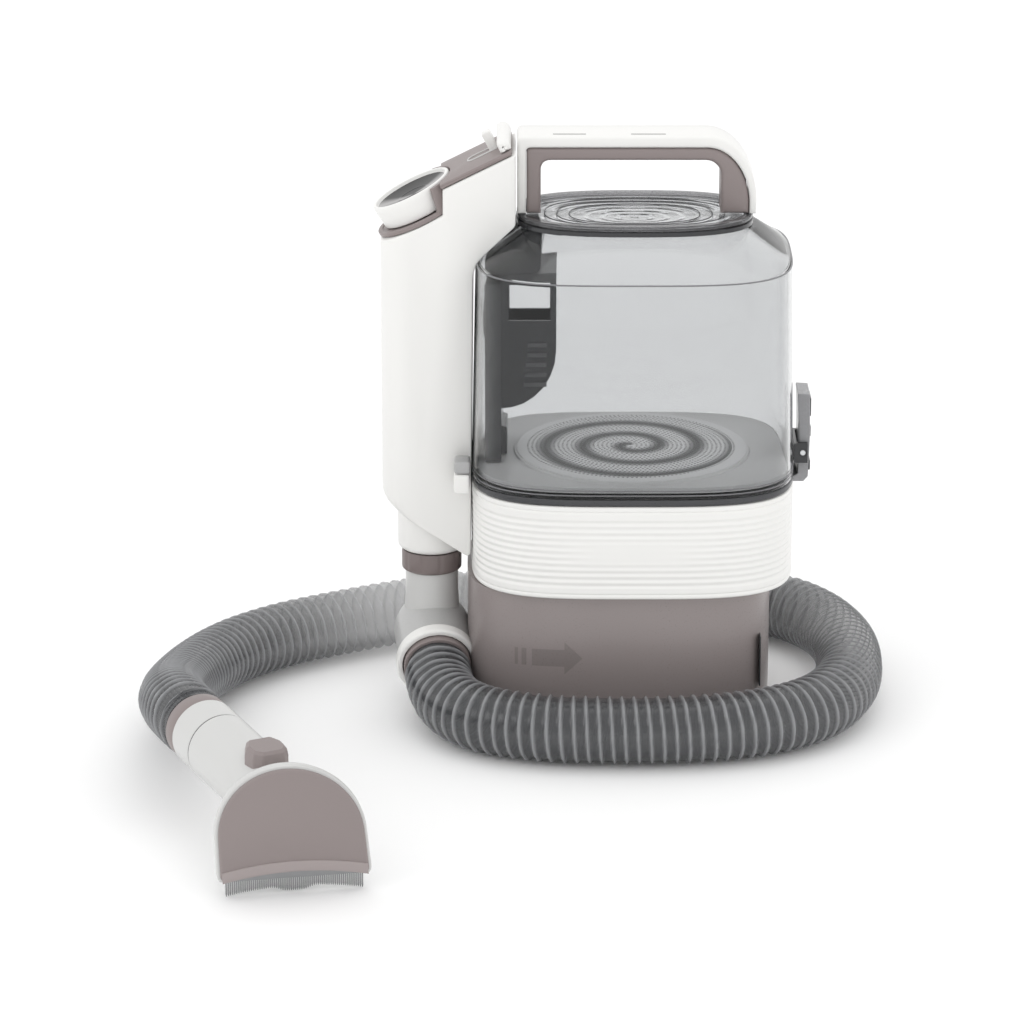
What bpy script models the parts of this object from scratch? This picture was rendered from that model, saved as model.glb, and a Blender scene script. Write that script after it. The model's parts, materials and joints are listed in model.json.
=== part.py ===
"""Compact spot extractor: motor base, clear tank, duct column, hose and comb tool.

Every length below is in millimetres; MM turns it into Blender's metres when a
mesh is made. The frame's origin is the middle of the tank on the floor, +X runs
from the duct column towards the latch, +Y runs to the back and +Z is up.
"""
import math

import bmesh
import bpy
from mathutils import Matrix, Vector

MM = 0.001
GAP = 0.4                      # running gap between neighbouring pieces
CORNER_STEPS = 6               # facets in each rounded corner of an outline

# Lower housing and ribbed band
FOOT_HEIGHT = 4.0
BASE_X, BASE_HALF_X, BASE_HALF_Y, BASE_RADIUS = -7.5, 89.5, 70.0, 46.0
BASE_TOP = 85.6
BAND_HALF_X, BAND_HALF_Y, BAND_RADIUS = 94.5, 78.0, 48.0
BAND_BOTTOM, BAND_TOP = 86.0, 142.6
BAND_WALL = 3.0
DECK_BOTTOM, DECK_TOP = 135.0, 138.6

# Tank
TANK_WALL = 2.4
SEAL_BOTTOM, SEAL_TOP = 143.0, 146.6
TANK_BOTTOM, SHOULDER, NECK = 147.0, 274.0, 293.4
TANK_FLOOR_BOTTOM, TANK_FLOOR_TOP = 150.0, 153.6
DISC_RADIUS = 68.4
INLET_HEIGHT = 235.0           # centre of the dirty-air inlet

# Lid and handle
LID_X, LID_HALF_X, LID_HALF_Y, LID_RADIUS = 0.6, 68.0, 42.5, 40.0
LID_TOP = 299.8
HANDLE_FOOT = 300.2
GRIP_UNDER, GRIP_TOP, HANDLE_TOP = 331.6, 339.0, 346.0
HANDLE_HALF_DEPTH = 15.0

# Duct column
COLUMN_LEFT, COLUMN_RIGHT, COLUMN_FACE = -147.0, -95.5, -68.5
COLUMN_HALF_DEPTH = 28.0
COLUMN_WALL = 2.6
SLOPE_ANGLE = math.atan(0.5)   # the column's top slopes one in two
DIAL_FOOT = Vector((-121.8, 0.0, 296.6))
DIAL_RADIUS = 24.5
PORT_X = -118.3
RING_BOTTOM, RING_TOP = 80.0, 92.6

# Elbow, hose and tool
ELBOW_CENTRE = Vector((-118.0, 0.0, 40.0))
ELBOW_AXIS = Vector((0.09, -0.96, -0.26)).normalized()
ELBOW_RADIUS = 23.0
ELBOW_REACH = 36.0
HOSE_DIAMETER = 40.0
HEAD_PLACE = Vector((-186.8, -312.2, 0.0))
HEAD_YAW = math.radians(10.65)
HEAD_LEAN = 0.07
TOOL_PLACE = Vector((-193.4, -298.8, 0.0))
TOOL_YAW = math.radians(27.0)
TOOL_HANDLE_RISE = math.radians(3.5)
TOOL_HANDLE_HEIGHT = 46.0
TOOL_HANDLE_RADIUS = 19.7
HEAD_HALF_WIDTH = 42.0
HEAD_TOP = 74.6
HEAD_DEPTH = 11.0

# Route of the hose's centre line, from the elbow round the base to the tool
HOSE_ROUTE = [
    (-114.4, -38.4, 29.6), (-113.2, -51.0, 26.2), (-109.8, -66.0, 22.8),
    (-100.5, -84.5, 20.8), (-83.0, -101.0, 20.3), (-52.0, -112.8, 20.3),
    (-18.0, -116.3, 20.3), (20.0, -115.6, 20.3), (55.0, -110.0, 20.3),
    (86.0, -97.0, 20.3), (110.5, -75.0, 20.3), (125.5, -43.0, 20.3),
    (131.0, -5.0, 20.3), (129.0, 33.0, 20.3), (118.5, 67.0, 20.3),
    (97.5, 95.5, 20.3), (65.0, 112.0, 20.3), (26.0, 117.6, 20.3),
    (-17.0, 117.5, 20.3), (-60.0, 113.5, 20.3), (-101.0, 104.0, 20.3),
    (-141.0, 87.0, 20.3), (-178.0, 66.5, 20.3), (-208.0, 47.0, 20.3),
    (-232.0, 24.0, 20.4), (-247.0, -0.5, 21.4), (-257.0, -30.0, 24.2),
    (-262.6, -61.0, 28.8), (-265.0, -92.0, 35.0), (-264.8, -121.0, 42.2),
    (-262.4, -146.0, 48.6), (-258.8, -163.5, 52.0),
    (-252.8, -182.3, 54.0), (-249.6, -188.5, 53.6), (-246.6, -194.4, 53.2),
]


# ---------------------------------------------------------------- tools

def finish(piece, colour, roughness, metallic=0.0, alpha=1.0):
    """Give the piece its own Principled material."""
    material = bpy.data.materials.new(piece.name + "_finish")
    material.use_nodes = True
    shader = material.node_tree.nodes["Principled BSDF"]
    shader.inputs["Base Color"].default_value = (*colour, 1.0)
    shader.inputs["Roughness"].default_value = roughness
    shader.inputs["Metallic"].default_value = metallic
    shader.inputs["Alpha"].default_value = alpha
    piece.data.materials.append(material)
    return piece


WHITE = ((0.86, 0.86, 0.84), 0.35)
TAUPE = ((0.30, 0.27, 0.26), 0.45)
SMOKE = ((0.35, 0.33, 0.33), 0.2, 0.0, 0.6)
CLEAR = ((0.62, 0.63, 0.65), 0.1, 0.0, 0.35)
DARK = ((0.035, 0.036, 0.038), 0.3)
RUBBER = ((0.05, 0.05, 0.05), 0.8)
STEEL = ((0.62, 0.62, 0.62), 0.3, 1.0)
GREY = ((0.45, 0.45, 0.46), 0.5)
COPPER = ((0.55, 0.30, 0.16), 0.4, 1.0)
BOARD = ((0.05, 0.20, 0.10), 0.5)


def place(name, bm):
    """Turn a finished bmesh into a named object with outward faces."""
    bmesh.ops.recalc_face_normals(bm, faces=bm.faces)
    mesh = bpy.data.meshes.new(name)
    bm.to_mesh(mesh)
    bm.free()
    piece = bpy.data.objects.new(name, mesh)
    bpy.context.collection.objects.link(piece)
    return piece


def skin(name, loops, closed=False, frame=None):
    """Stretch quads between equal loops of points; cap the ends unless closed."""
    bm = bmesh.new()
    to_world = frame if frame is not None else Matrix.Identity(4)
    rings = [[bm.verts.new(to_world @ Vector(point) * MM) for point in loop] for loop in loops]
    pairs = list(zip(rings, rings[1:]))
    if closed:
        pairs.append((rings[-1], rings[0]))
    else:
        bm.faces.new(rings[0])
        bm.faces.new(rings[-1])
    for low, high in pairs:
        for i in range(len(low)):
            j = (i + 1) % len(low)
            bm.faces.new((low[i], low[j], high[j], high[i]))
    return place(name, bm)


def rounded(centre_x, half_x, half_y, radius, steps=CORNER_STEPS):
    """Points of a rectangle with round corners, anticlockwise from above."""
    points = []
    for corner, (sx, sy) in enumerate(((1, 1), (-1, 1), (-1, -1), (1, -1))):
        for step in range(steps + 1):
            turn = math.radians(90.0 * corner + 90.0 * step / steps)
            x = centre_x + sx * (half_x - radius) + radius * math.cos(turn)
            y = sy * (half_y - radius) + radius * math.sin(turn)
            points.append((x, y))
    return points


def circle_under(outline, radius, centre_x=0.0):
    """Points of a circle, one for each point of an outline."""
    step = 2.0 * math.pi / len(outline)
    angles = [step * (i + 0.5) for i in range(len(outline))]
    return [(centre_x + radius * math.cos(a), radius * math.sin(a)) for a in angles]


def at(outline, z):
    """Lift a flat outline to height z."""
    return [(x, y, z) for x, y in outline]


def ring_wall(name, outer, inner, low, high):
    """Upright wall between two outlines, open above and below."""
    return skin(name, [at(outer, low), at(outer, high), at(inner, high), at(inner, low)], True)


def axis_frame(origin, axis):
    """Matrix whose +Z runs along axis from origin, both in millimetres."""
    turn = Vector(axis).to_track_quat("Z", "Y").to_matrix().to_4x4()
    place_at = Matrix.Translation(Vector(origin))
    return place_at @ turn


def turned(name, profile, origin=(0, 0, 0), axis=(0, 0, 1), steps=32, closed=False):
    """Solid of revolution: profile is (radius, height) pairs along the axis."""
    loops = []
    for radius, height in profile:
        angles = [2.0 * math.pi * i / steps for i in range(steps)]
        loops.append([(radius * math.cos(a), radius * math.sin(a), height) for a in angles])
    return skin(name, loops, closed, axis_frame(origin, axis))


def washer(name, inner, outer, low, high, origin=(0, 0, 0), axis=(0, 0, 1), steps=32):
    """Plain round ring."""
    profile = [(outer, low), (outer, high), (inner, high), (inner, low)]
    return turned(name, profile, origin, axis, steps, closed=True)


def side_prism(name, points, front, back, frame=None):
    """Outline in X and Z carried from y = front to y = back."""
    loops = [[(x, y, z) for x, z in points] for y in (front, back)]
    return skin(name, loops, False, frame)


def block(name, low, high, frame=None):
    """Box between two corners."""
    points = [(low[0], low[2]), (high[0], low[2]), (high[0], high[2]), (low[0], high[2])]
    return side_prism(name, points, low[1], high[1], frame)


def arc(centre, half_x, half_z, start, end, steps):
    """Points along an ellipse's arc, angles in degrees from +X towards +Z."""
    turns = [math.radians(start + (end - start) * i / steps) for i in range(steps + 1)]
    return [(centre[0] + half_x * math.cos(t), centre[1] + half_z * math.sin(t)) for t in turns]


def soften(piece, width, segments=2, angle=35.0):
    """Round the piece's sharp edges."""
    bevel = piece.modifiers.new("Edges", "BEVEL")
    bevel.width = width * MM
    bevel.segments = segments
    bevel.limit_method = "ANGLE"
    bevel.angle_limit = math.radians(angle)
    return piece


def combine(piece, other, operation="DIFFERENCE"):
    """Cut a guide shape from the piece, or join it on."""
    other.hide_render = True
    other.display_type = "WIRE"
    boolean = piece.modifiers.new(other.name, "BOOLEAN")
    boolean.operation = operation
    boolean.solver = "EXACT"
    boolean.object = other
    return piece


def shade(piece, angle=35.0):
    """Smooth the round faces and keep the edges sharp."""
    piece.data.shade_smooth()
    piece.data.set_sharp_from_angle(angle=math.radians(angle))


def pivot(piece, point):
    """Move the piece's origin onto its joint without moving its shape."""
    offset = Vector(point) * MM
    piece.data.transform(Matrix.Translation(-offset))
    piece.location = offset
    return piece


# ---------------------------------------------------------------- base

def make_base():
    """Smoke-grey lower housing, its feet, grille and mains inlet."""
    outer = rounded(BASE_X, BASE_HALF_X, BASE_HALF_Y, BASE_RADIUS)
    inner = rounded(BASE_X, BASE_HALF_X - 3.0, BASE_HALF_Y - 3.0, BASE_RADIUS - 3.0)
    foot_line = rounded(BASE_X, BASE_HALF_X - 3.0, BASE_HALF_Y - 3.0, BASE_RADIUS - 3.0)
    bottom = FOOT_HEIGHT + GAP
    housing = skin("lower_housing", [
        at(foot_line, bottom), at(outer, bottom + 3.0), at(outer, BASE_TOP),
        at(inner, BASE_TOP), at(inner, bottom + 3.0)])
    combine(housing, block("grille_cutter", (-50, 60, 24), (20, 80, 62)))
    combine(housing, block("inlet_cutter_rear", (-46.4, 60, 65.6), (-25.6, 80, 80.4)))
    combine(housing, block("scoop_backing", (-95.5, -42, 12), (-88.5, 14, 56)), "UNION")
    scoop = [(2.0, -23.8), (9.2, -22.0), (16.8, -17.0), (21.8, -9.4), (23.6, 0.0), (24.6, 31.0), (24.6, 60.0)]
    combine(housing, turned("elbow_scoop", scoop, ELBOW_CENTRE, ELBOW_AXIS, 28))
    finish(housing, *SMOKE)

    points = [(-52, 22), (22, 22), (22, 64), (-52, 64)]
    grille = side_prism("exhaust_grille", points, BASE_HALF_Y + GAP, BASE_HALF_Y + 3.0)
    for row in range(6):
        low = 27.0 + 6.0 * row
        slot = block("grille_slot_%d" % row, (-46, 60, low), (16, 80, low + 3.0))
        combine(grille, slot)
    finish(grille, *TAUPE)

    inlet = block("mains_inlet", (-46, BASE_HALF_Y - 8, 66), (-26, BASE_HALF_Y + 0.8, 80))
    finish(soften(inlet, 0.8), *DARK)

    spots = {"front_left": (-62, -42), "front_right": (47, -42),
             "rear_left": (-62, 42), "rear_right": (47, 42)}
    finish(turned("centre_pad", [(13.0, 0.0), (14.0, 1.0), (14.0, FOOT_HEIGHT)], steps=20), *RUBBER)
    for corner, (x, y) in spots.items():
        foot = turned("foot_" + corner, [(8.0, 0.0), (9.0, 1.0), (9.0, FOOT_HEIGHT)], (x, y, 0), steps=20)
        finish(foot, *RUBBER)


def make_band():
    """White ribbed band with its inner floor, the deck plate and the gasket."""
    outer = rounded(0.0, BAND_HALF_X, BAND_HALF_Y, BAND_RADIUS)
    inner = rounded(0.0, BAND_HALF_X - BAND_WALL, BAND_HALF_Y - BAND_WALL, BAND_RADIUS - BAND_WALL)
    hole = circle_under(outer, 60.0)
    band = skin("band_housing", [
        at(outer, BAND_BOTTOM), at(outer, BAND_TOP), at(inner, BAND_TOP),
        at(inner, BAND_BOTTOM + BAND_WALL), at(hole, BAND_BOTTOM + BAND_WALL), at(hole, BAND_BOTTOM)], True)
    combine(band, block("latch_notch", (93.2, -12.6, 136.2), (110.0, 12.6, 140.2)))
    finish(band, *WHITE)

    edge = rounded(0.0, BAND_HALF_X - BAND_WALL - GAP, BAND_HALF_Y - BAND_WALL - GAP,
                   BAND_RADIUS - BAND_WALL - GAP)
    deck = ring_wall("deck_plate", edge, circle_under(edge, 50.0), DECK_BOTTOM, DECK_TOP)
    finish(deck, *GREY)
    finish(washer("floor_gasket", 58.0, 65.5, DECK_TOP + GAP, TANK_FLOOR_BOTTOM - GAP), *RUBBER)

    hook = block("band_hook", (-104.5, -47, 140), (-95.2, -33, 152))
    finish(soften(hook, 1.2), *WHITE)


def make_motor():
    """Motor, fan and pre-filter stacked on the base's middle."""
    floor = FOOT_HEIGHT + GAP + 3.0 + GAP
    bracket = turned("motor_bracket", [(44, floor), (44, 68.6), (41.5, 68.6), (41.5, floor + 3)])
    finish(bracket, *GREY)
    finish(washer("lower_bearing", 4.3, 10.0, floor + 3.4, floor + 9.4, steps=24), *STEEL)
    finish(washer("motor_top_plate", 4.6, 46.0, 69.0, 75.0), *GREY)
    finish(washer("motor_stator", 19.8, 41.1, 22.0, 66.0), *COPPER)

    rotor = turned("motor_rotor", [(4, 11.6), (4, 24), (19.2, 24), (19.2, 64), (4, 64), (4, 103)], steps=24)
    finish(rotor, *STEEL)

    blades = 12
    angles = [2.0 * math.pi * i / (blades * 4) for i in range(blades * 4)]
    plate = [(38 * math.cos(a), 38 * math.sin(a)) for a in angles]
    reach = [38 if i % 4 < 2 else 14 for i in range(len(angles))]
    star = [(r * math.cos(a), r * math.sin(a)) for r, a in zip(reach, angles)]
    bore = [(4.3 * math.cos(a), 4.3 * math.sin(a)) for a in angles]
    fan = skin("fan_impeller", [at(plate, 82), at(plate, 85), at(star, 85.5), at(star, 100),
                                at(bore, 100), at(bore, 82)], True)
    finish(fan, *GREY)

    profile = [(46, 75.4), (46, 108), (20, 108), (20, 105.5), (43, 105.5), (43, 75.4)]
    finish(turned("fan_shroud", profile, closed=True), *GREY)
    finish(turned("motor_filter", [(50, 108.4), (53, 111), (53, 132), (50, 134.6)]), *RUBBER)


# ---------------------------------------------------------------- column

def slope_point(x, z_at_corner=317.4, corner=-110.5):
    """Height of the column's sloped top above x."""
    return z_at_corner + (x - corner) * math.tan(SLOPE_ANGLE)


def underside(x):
    """Height of the column's slanted bottom above x."""
    return 94.0 + (COLUMN_RIGHT - x) * 34.5 / 51.5


def make_column():
    """White duct column, hollow, with the dial's pocket and both duct holes."""
    seat_left = 284.0
    seat_right = seat_left + (-110.5 - COLUMN_LEFT) * math.tan(SLOPE_ANGLE)
    points = [(COLUMN_LEFT, 128.5), (COLUMN_RIGHT, 94.0), (COLUMN_RIGHT, 274.0),
              (COLUMN_FACE, 297.5), (COLUMN_FACE, slope_point(COLUMN_FACE)),
              (-110.5, slope_point(-110.5)), (-110.5, seat_right), (COLUMN_LEFT, seat_left)]
    shell = side_prism("column_shell", points, -COLUMN_HALF_DEPTH, COLUMN_HALF_DEPTH)
    bm = bmesh.new()
    bm.from_mesh(shell.data)
    left = COLUMN_LEFT * MM
    edges = [e for e in bm.edges if all(abs(v.co.x - left) < 1e-6 for v in e.verts)
             and abs(e.verts[0].co.z - e.verts[1].co.z) > 0.01]
    bmesh.ops.bevel(bm, geom=edges, offset=18.0 * MM, segments=6, profile=0.5, affect="EDGES")
    bm.to_mesh(shell.data)
    bm.free()

    wall = COLUMN_WALL
    cavity = [(COLUMN_LEFT + wall, 132.0), (COLUMN_RIGHT - wall, 99.6), (COLUMN_RIGHT - wall, 272.5),
              (COLUMN_FACE - wall, 295.5), (COLUMN_FACE - wall, 400.0), (-95.5, 400.0),
              (-95.5, seat_left + 25.75 - 3.5), (COLUMN_LEFT + wall, seat_left - 2.4)]
    hollow = side_prism("column_cavity", cavity, -COLUMN_HALF_DEPTH + wall, COLUMN_HALF_DEPTH - wall)
    bm = bmesh.new()
    bm.from_mesh(hollow.data)
    left = (COLUMN_LEFT + wall) * MM
    edges = [e for e in bm.edges if all(abs(v.co.x - left) < 1e-6 for v in e.verts)
             and abs(e.verts[0].co.z - e.verts[1].co.z) > 0.01]
    bmesh.ops.bevel(bm, geom=edges, offset=15.5 * MM, segments=6, profile=0.5, affect="EDGES")
    bm.to_mesh(hollow.data)
    bm.free()
    combine(shell, hollow)

    up = dial_axis()
    combine(shell, turned("dial_pocket", [(26.4, 0.3), (26.4, 60.0)], DIAL_FOOT, up, steps=48))
    combine(shell, turned("spindle_hole", [(5.0, -20.0), (5.0, 10.0)], DIAL_FOOT, up, steps=16))
    combine(shell, turned("port_hole", [(15.0, 70.0), (15.0, 140.0)], (PORT_X, 0, 0), steps=24))
    combine(shell, turned("outlet_hole", [(13.4, -20.0), (13.4, 20.0)], (COLUMN_RIGHT, 0, INLET_HEIGHT),
                          (1, 0, 0), steps=24))
    finish(shell, *WHITE)

    bend = [(PORT_X, 0.0, 104.0), (PORT_X, 0.0, 212.0)]
    radius = INLET_HEIGHT - 212.0 - 3.0
    for step in range(1, 7):
        turn = math.radians(15.0 * step)
        bend.append((PORT_X + radius * (1 - math.cos(turn)), 0.0, 215.0 + radius * math.sin(turn)))
    finish(pipe("riser_duct", bend, 13.0, 11.4, 20), *GREY)


def pipe(name, path, outer, inner, steps, frame=None):
    """Round pipe along a path that stays in an upright plane through its start."""
    path = [Vector(point) for point in path]
    rings = {outer: [], inner: []}
    for i, point in enumerate(path):
        ahead = (path[min(i + 1, len(path) - 1)] - path[max(i - 1, 0)]).normalized()
        across = Vector((0, 1, 0)) if abs(ahead.y) < 0.9 else Vector((1, 0, 0))
        across = (across - ahead * across.dot(ahead)).normalized()
        other = ahead.cross(across)
        for radius, loops in rings.items():
            turns = [2.0 * math.pi * k / steps for k in range(steps)]
            loops.append([tuple(point + radius * (math.cos(t) * across + math.sin(t) * other)) for t in turns])
    return skin(name, rings[outer] + rings[inner][::-1], True, frame)


def dial_axis():
    """Direction square to the column's sloped top."""
    return Vector((-math.sin(SLOPE_ANGLE), 0.0, math.cos(SLOPE_ANGLE)))


def make_column_top():
    """Taupe top panel with its slot, the end cap, the dial and the slider."""
    along = Vector((math.cos(SLOPE_ANGLE), 0.0, math.sin(SLOPE_ANGLE)))
    up = dial_axis()
    corner = Vector((COLUMN_FACE, 0.0, slope_point(COLUMN_FACE)))
    frame = Matrix.Translation(corner) @ Matrix((
        (along.x, 0, up.x, 0), (0, 1, 0, 0), (along.z, 0, up.z, 0), (0, 0, 0, 1)))

    panel = block("column_top_panel", (-48.0, -27.4, GAP), (-1.9, 27.4, 3.2), frame)
    combine(panel, turned("panel_pocket", [(26.4, -10.0), (26.4, 60.0)], DIAL_FOOT, up, steps=48))
    combine(panel, block("slider_slot", (-28.4, -3.6, -5.0), (-9.0, 3.6, 8.0), frame))
    finish(panel, *TAUPE)

    cap = [(-7.7, 3.6), (-1.0, 3.6), (-1.0, 7.4), (-3.6, 10.4), (-7.7, 10.4)]
    cap_piece = side_prism("column_end_cap", cap, -25.0, 25.0, frame)
    finish(soften(cap_piece, 1.2), *WHITE)

    slider = block("power_slider", (-15.2, -3.0, -2.0), (-9.8, 3.0, 14.6), frame)
    finish(soften(slider, 0.8), *WHITE)

    seat = turned("dial_seat", [(26.0, 0.4), (26.0, 2.6), (5.4, 2.6), (5.4, 0.4)], DIAL_FOOT, up, 40, True)
    finish(seat, *TAUPE)
    spindle = turned("dial_spindle", [(9.0, -15.0), (9.0, -6.0), (3.0, -6.0), (3.0, 5.4)], DIAL_FOOT, up, 16)
    finish(spindle, *STEEL)
    profile = [(22.3, 3.0), (DIAL_RADIUS, 16.4), (DIAL_RADIUS - 0.6, 17.4), (DIAL_RADIUS - 2.4, 17.4),
               (DIAL_RADIUS - 3.0, 14.4), (4.0, 12.0), (4.0, 5.8), (3.4, 5.8)]
    hub = profile[:6]
    knob = turned("dial_knob", [(3.4, 3.0)] + hub + [(3.4, 12.0)], DIAL_FOOT, up, 36, closed=True)
    finish(pivot(knob, DIAL_FOOT), *WHITE)
    face = turned("dial_face", [(5.0, 12.5), (DIAL_RADIUS - 3.6, 14.9), (DIAL_RADIUS - 3.6, 15.5), (5.0, 13.3)],
                  DIAL_FOOT, up, 32)
    finish(pivot(face, DIAL_FOOT), *STEEL)

    board = block("control_board", (-141.0, -18.0, 262.0), (-100.0, 18.0, 263.6))
    finish(board, *BOARD)


# ---------------------------------------------------------------- port and elbow

def make_port():
    """Collar and lock ring under the column, the elbow and its push key."""
    collar = turned("port_collar", [(17.6, 93.0), (19.9, 95.0), (19.9, 130.0), (13.4, 130.0), (13.4, 93.0)],
                    (PORT_X, 0, 0), steps=32, closed=True)
    above = [(-150.0, underside(-150.0) - GAP), (-80.0, underside(-80.0) - GAP), (-80.0, 200.0), (-150.0, 200.0)]
    combine(collar, side_prism("underside_cutter", above, -40.0, 40.0))
    finish(collar, *WHITE)
    ring = washer("lock_ring", 14.6, 17.8, RING_BOTTOM, RING_TOP, (PORT_X, 0, 0))
    finish(pivot(ring, (PORT_X, 0, 0)), *TAUPE)

    outer = [(2.0, -23.0), (9.0, -21.2), (16.3, -16.3), (21.2, -9.0), (ELBOW_RADIUS, 0.0),
             (ELBOW_RADIUS, 31.0), (24.0, 32.0), (24.0, ELBOW_REACH)]
    inner = [(20.4, ELBOW_REACH), (20.4, 0.0), (14.0, -14.4), (2.0, -20.0)]
    elbow = turned("hose_elbow", outer + inner, ELBOW_CENTRE, ELBOW_AXIS, 28)
    combine(elbow, turned("elbow_pipe", [(15.6, 45.0), (15.6, RING_BOTTOM - GAP)], (PORT_X, 0, 0), steps=24), "UNION")
    combine(elbow, turned("elbow_bore", [(13.0, 38.0), (13.0, 100.0)], (PORT_X, 0, 0), steps=24))
    key_place = ELBOW_CENTRE + Vector((0.0, -19.0, 9.0))
    combine(elbow, turned("key_hole", [(6.4, -8.0), (6.4, 12.0)], key_place, key_axis(), 20))
    finish(elbow, *WHITE)
    key = turned("elbow_key", [(6.0, -3.5), (6.0, 4.6), (5.0, 5.6)], key_place, key_axis(), 20)
    finish(pivot(key, key_place), *GREY)

    cuff = washer("hose_cuff", 16.5, 19.9, ELBOW_REACH - 12.0, ELBOW_REACH + 3.5, ELBOW_CENTRE, ELBOW_AXIS)
    finish(cuff, *TAUPE)


def key_axis():
    """Direction in which the elbow's key stands out."""
    return Vector((0.0, -0.55, 0.835)).normalized()


# ---------------------------------------------------------------- tank

def make_tank():
    """Clear tank with its seal, neck ring, floor, steel screen and pad."""
    def walls(inset):
        low = rounded(0.0, 94.3 - inset, 77.8 - inset, 47.0 - inset)
        high = rounded(0.0, 91.8 - inset, 76.0 - inset, 46.0 - inset)
        neck = rounded(LID_X, LID_HALF_X - inset, LID_HALF_Y - inset, LID_RADIUS - inset)
        return low, high, neck
    low, high, neck = walls(0.0)
    low_in, high_in, neck_in = walls(TANK_WALL)
    shell = skin("tank_shell", [
        at(low, TANK_BOTTOM), at(high, SHOULDER), at(neck, NECK),
        at(neck_in, NECK), at(high_in, SHOULDER - 1.0), at(low_in, TANK_BOTTOM)], True)
    combine(shell, turned("inlet_cutter", [(13.4, -20.0), (13.4, 20.0)], (-92.0, 0, INLET_HEIGHT), (1, 0, 0), 24))
    finish(shell, *CLEAR)

    seal_out = rounded(0.0, 94.5, 78.0, 47.5)
    seal_in = rounded(0.0, 89.5, 73.0, 42.5)
    finish(ring_wall("tank_seal", seal_out, seal_in, SEAL_BOTTOM, SEAL_TOP), *DARK)
    ring_out = rounded(LID_X, LID_HALF_X + 0.8, LID_HALF_Y + 0.8, LID_RADIUS + 0.8)
    ring_in = rounded(LID_X, LID_HALF_X - 3.4, LID_HALF_Y - 3.4, LID_RADIUS - 3.4)
    finish(ring_wall("neck_ring", ring_out, ring_in, NECK + GAP, 296.4), *DARK)

    inset = TANK_WALL + GAP
    edge = rounded(0.0, 94.0 - inset, 77.5 - inset, 46.7 - inset)
    hole = circle_under(edge, 63.0)
    finish(ring_wall("tank_floor", edge, hole, TANK_FLOOR_BOTTOM, TANK_FLOOR_TOP), *WHITE)
    disc = turned("filter_screen", [(DISC_RADIUS, TANK_FLOOR_TOP + GAP), (DISC_RADIUS, TANK_FLOOR_TOP + 1.6)],
                  steps=48)
    finish(disc, *STEEL)
    finish(turned("filter_pad", [(60.8, 150.0), (61.8, 151.0), (61.8, 153.4)]), *RUBBER)

    hook = block("tank_hook", (-104.5, -47, 152.5), (-94.9, -33, 160))
    finish(soften(hook, 1.2), *SMOKE)


def make_inlet():
    """Dark inlet duct down the tank's left wall, its window and its hood."""
    arc_points = arc((-76.9, 218.2), 32.0, 35.4, -80.0, 0.0, 6)
    duct_line = [(-86.0, 154.8), (-74.0, 154.8), (-74.0, 171.0), (-77.4, 172.6), (-77.4, 182.8)]
    duct_line += arc_points + [(-44.9, 262.0), (-86.0, 262.0)]
    duct = side_prism("inlet_duct", duct_line, -14.0, 14.0)
    combine(duct, block("duct_wall", (-86.4, -28.0, 154.4), (-77.0, 28.0, 261.6)), "UNION")
    spigot = turned("duct_spigot", [(12.6, 0.0), (12.6, 10.0)], (-88.6, 0, INLET_HEIGHT), (1, 0, 0), 24)
    combine(duct, spigot, "UNION")
    hollow = [(-84.2, 160.0), (-79.2, 160.0), (-79.2, 187.0), (-66.0, 190.0), (-52.0, 203.5), (-47.1, 218.2),
              (-47.1, 259.8), (-84.2, 259.8)]
    combine(duct, side_prism("duct_cavity", hollow, -12.0, 12.0))
    combine(duct, turned("spigot_bore", [(10.6, -10.0), (10.6, 8.0)], (-88.6, 0, INLET_HEIGHT), (1, 0, 0), 24))
    combine(duct, block("duct_window", (-72.9, -30, 236.0), (-48.5, 30, 257.5)))
    finish(duct, *DARK)

    hood = [(-86.4, 262.6), (-56.6, 262.6), (-54.0, 265.2), (-54.0, 290.6), (-62.0, 290.6), (-86.4, 271.8)]
    finish(side_prism("inlet_hood", hood, -17.0, 17.0), *DARK)


def make_latch():
    """Grey lever on the tank's right wall with its pin and bracket."""
    pivot_at = (100.2, 0, 155.6)
    bracket = block("latch_bracket", (94.9, -15.6, 149.5), (103.0, 15.6, 161.5))
    combine(bracket, block("bracket_gap", (96.8, -12.5, 140.0), (110.0, 12.5, 170.0)))
    combine(bracket, turned("bracket_bore", [(2.0, -20.0), (2.0, 20.0)], pivot_at, (0, 1, 0), 16))
    finish(bracket, *GREY)
    pin = turned("latch_pin", [(1.6, -15.2), (1.6, 15.2)], pivot_at, (0, 1, 0), 16)
    finish(pin, *STEEL)
    points = [(93.7, 137.0), (101.0, 137.0), (103.6, 140.0), (104.4, 165.0), (104.0, 190.4), (96.8, 190.8),
              (97.4, 178.0), (97.6, 166.0), (97.6, 142.0), (93.7, 139.4)]
    lever = side_prism("latch_lever", points, -12.0, 12.0)
    combine(lever, turned("latch_bore", [(2.0, -20.0), (2.0, 20.0)], pivot_at, (0, 1, 0), 16))
    finish(pivot(lever, pivot_at), *GREY)


# ---------------------------------------------------------------- lid and handle

def make_lid():
    """Clear dished lid in a dark rim."""
    rim_out = rounded(LID_X, LID_HALF_X + 0.4, LID_HALF_Y + 0.4, LID_RADIUS + 0.4)
    rim_in = rounded(LID_X, LID_HALF_X - 5.0, LID_HALF_Y - 5.0, LID_RADIUS - 5.0)
    finish(ring_wall("lid_rim", rim_out, rim_in, 296.8, LID_TOP), *DARK)
    edge = rounded(LID_X, LID_HALF_X - 5.4, LID_HALF_Y - 5.4, LID_RADIUS - 5.4)
    dish = rounded(LID_X, LID_HALF_X - 12.0, LID_HALF_Y - 12.0, LID_RADIUS - 12.0)
    cover = skin("lid_cover", [at(dish, 292.0), at(edge, 294.2), at(edge, 297.8), at(dish, 295.0)])
    finish(cover, *CLEAR)


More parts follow.
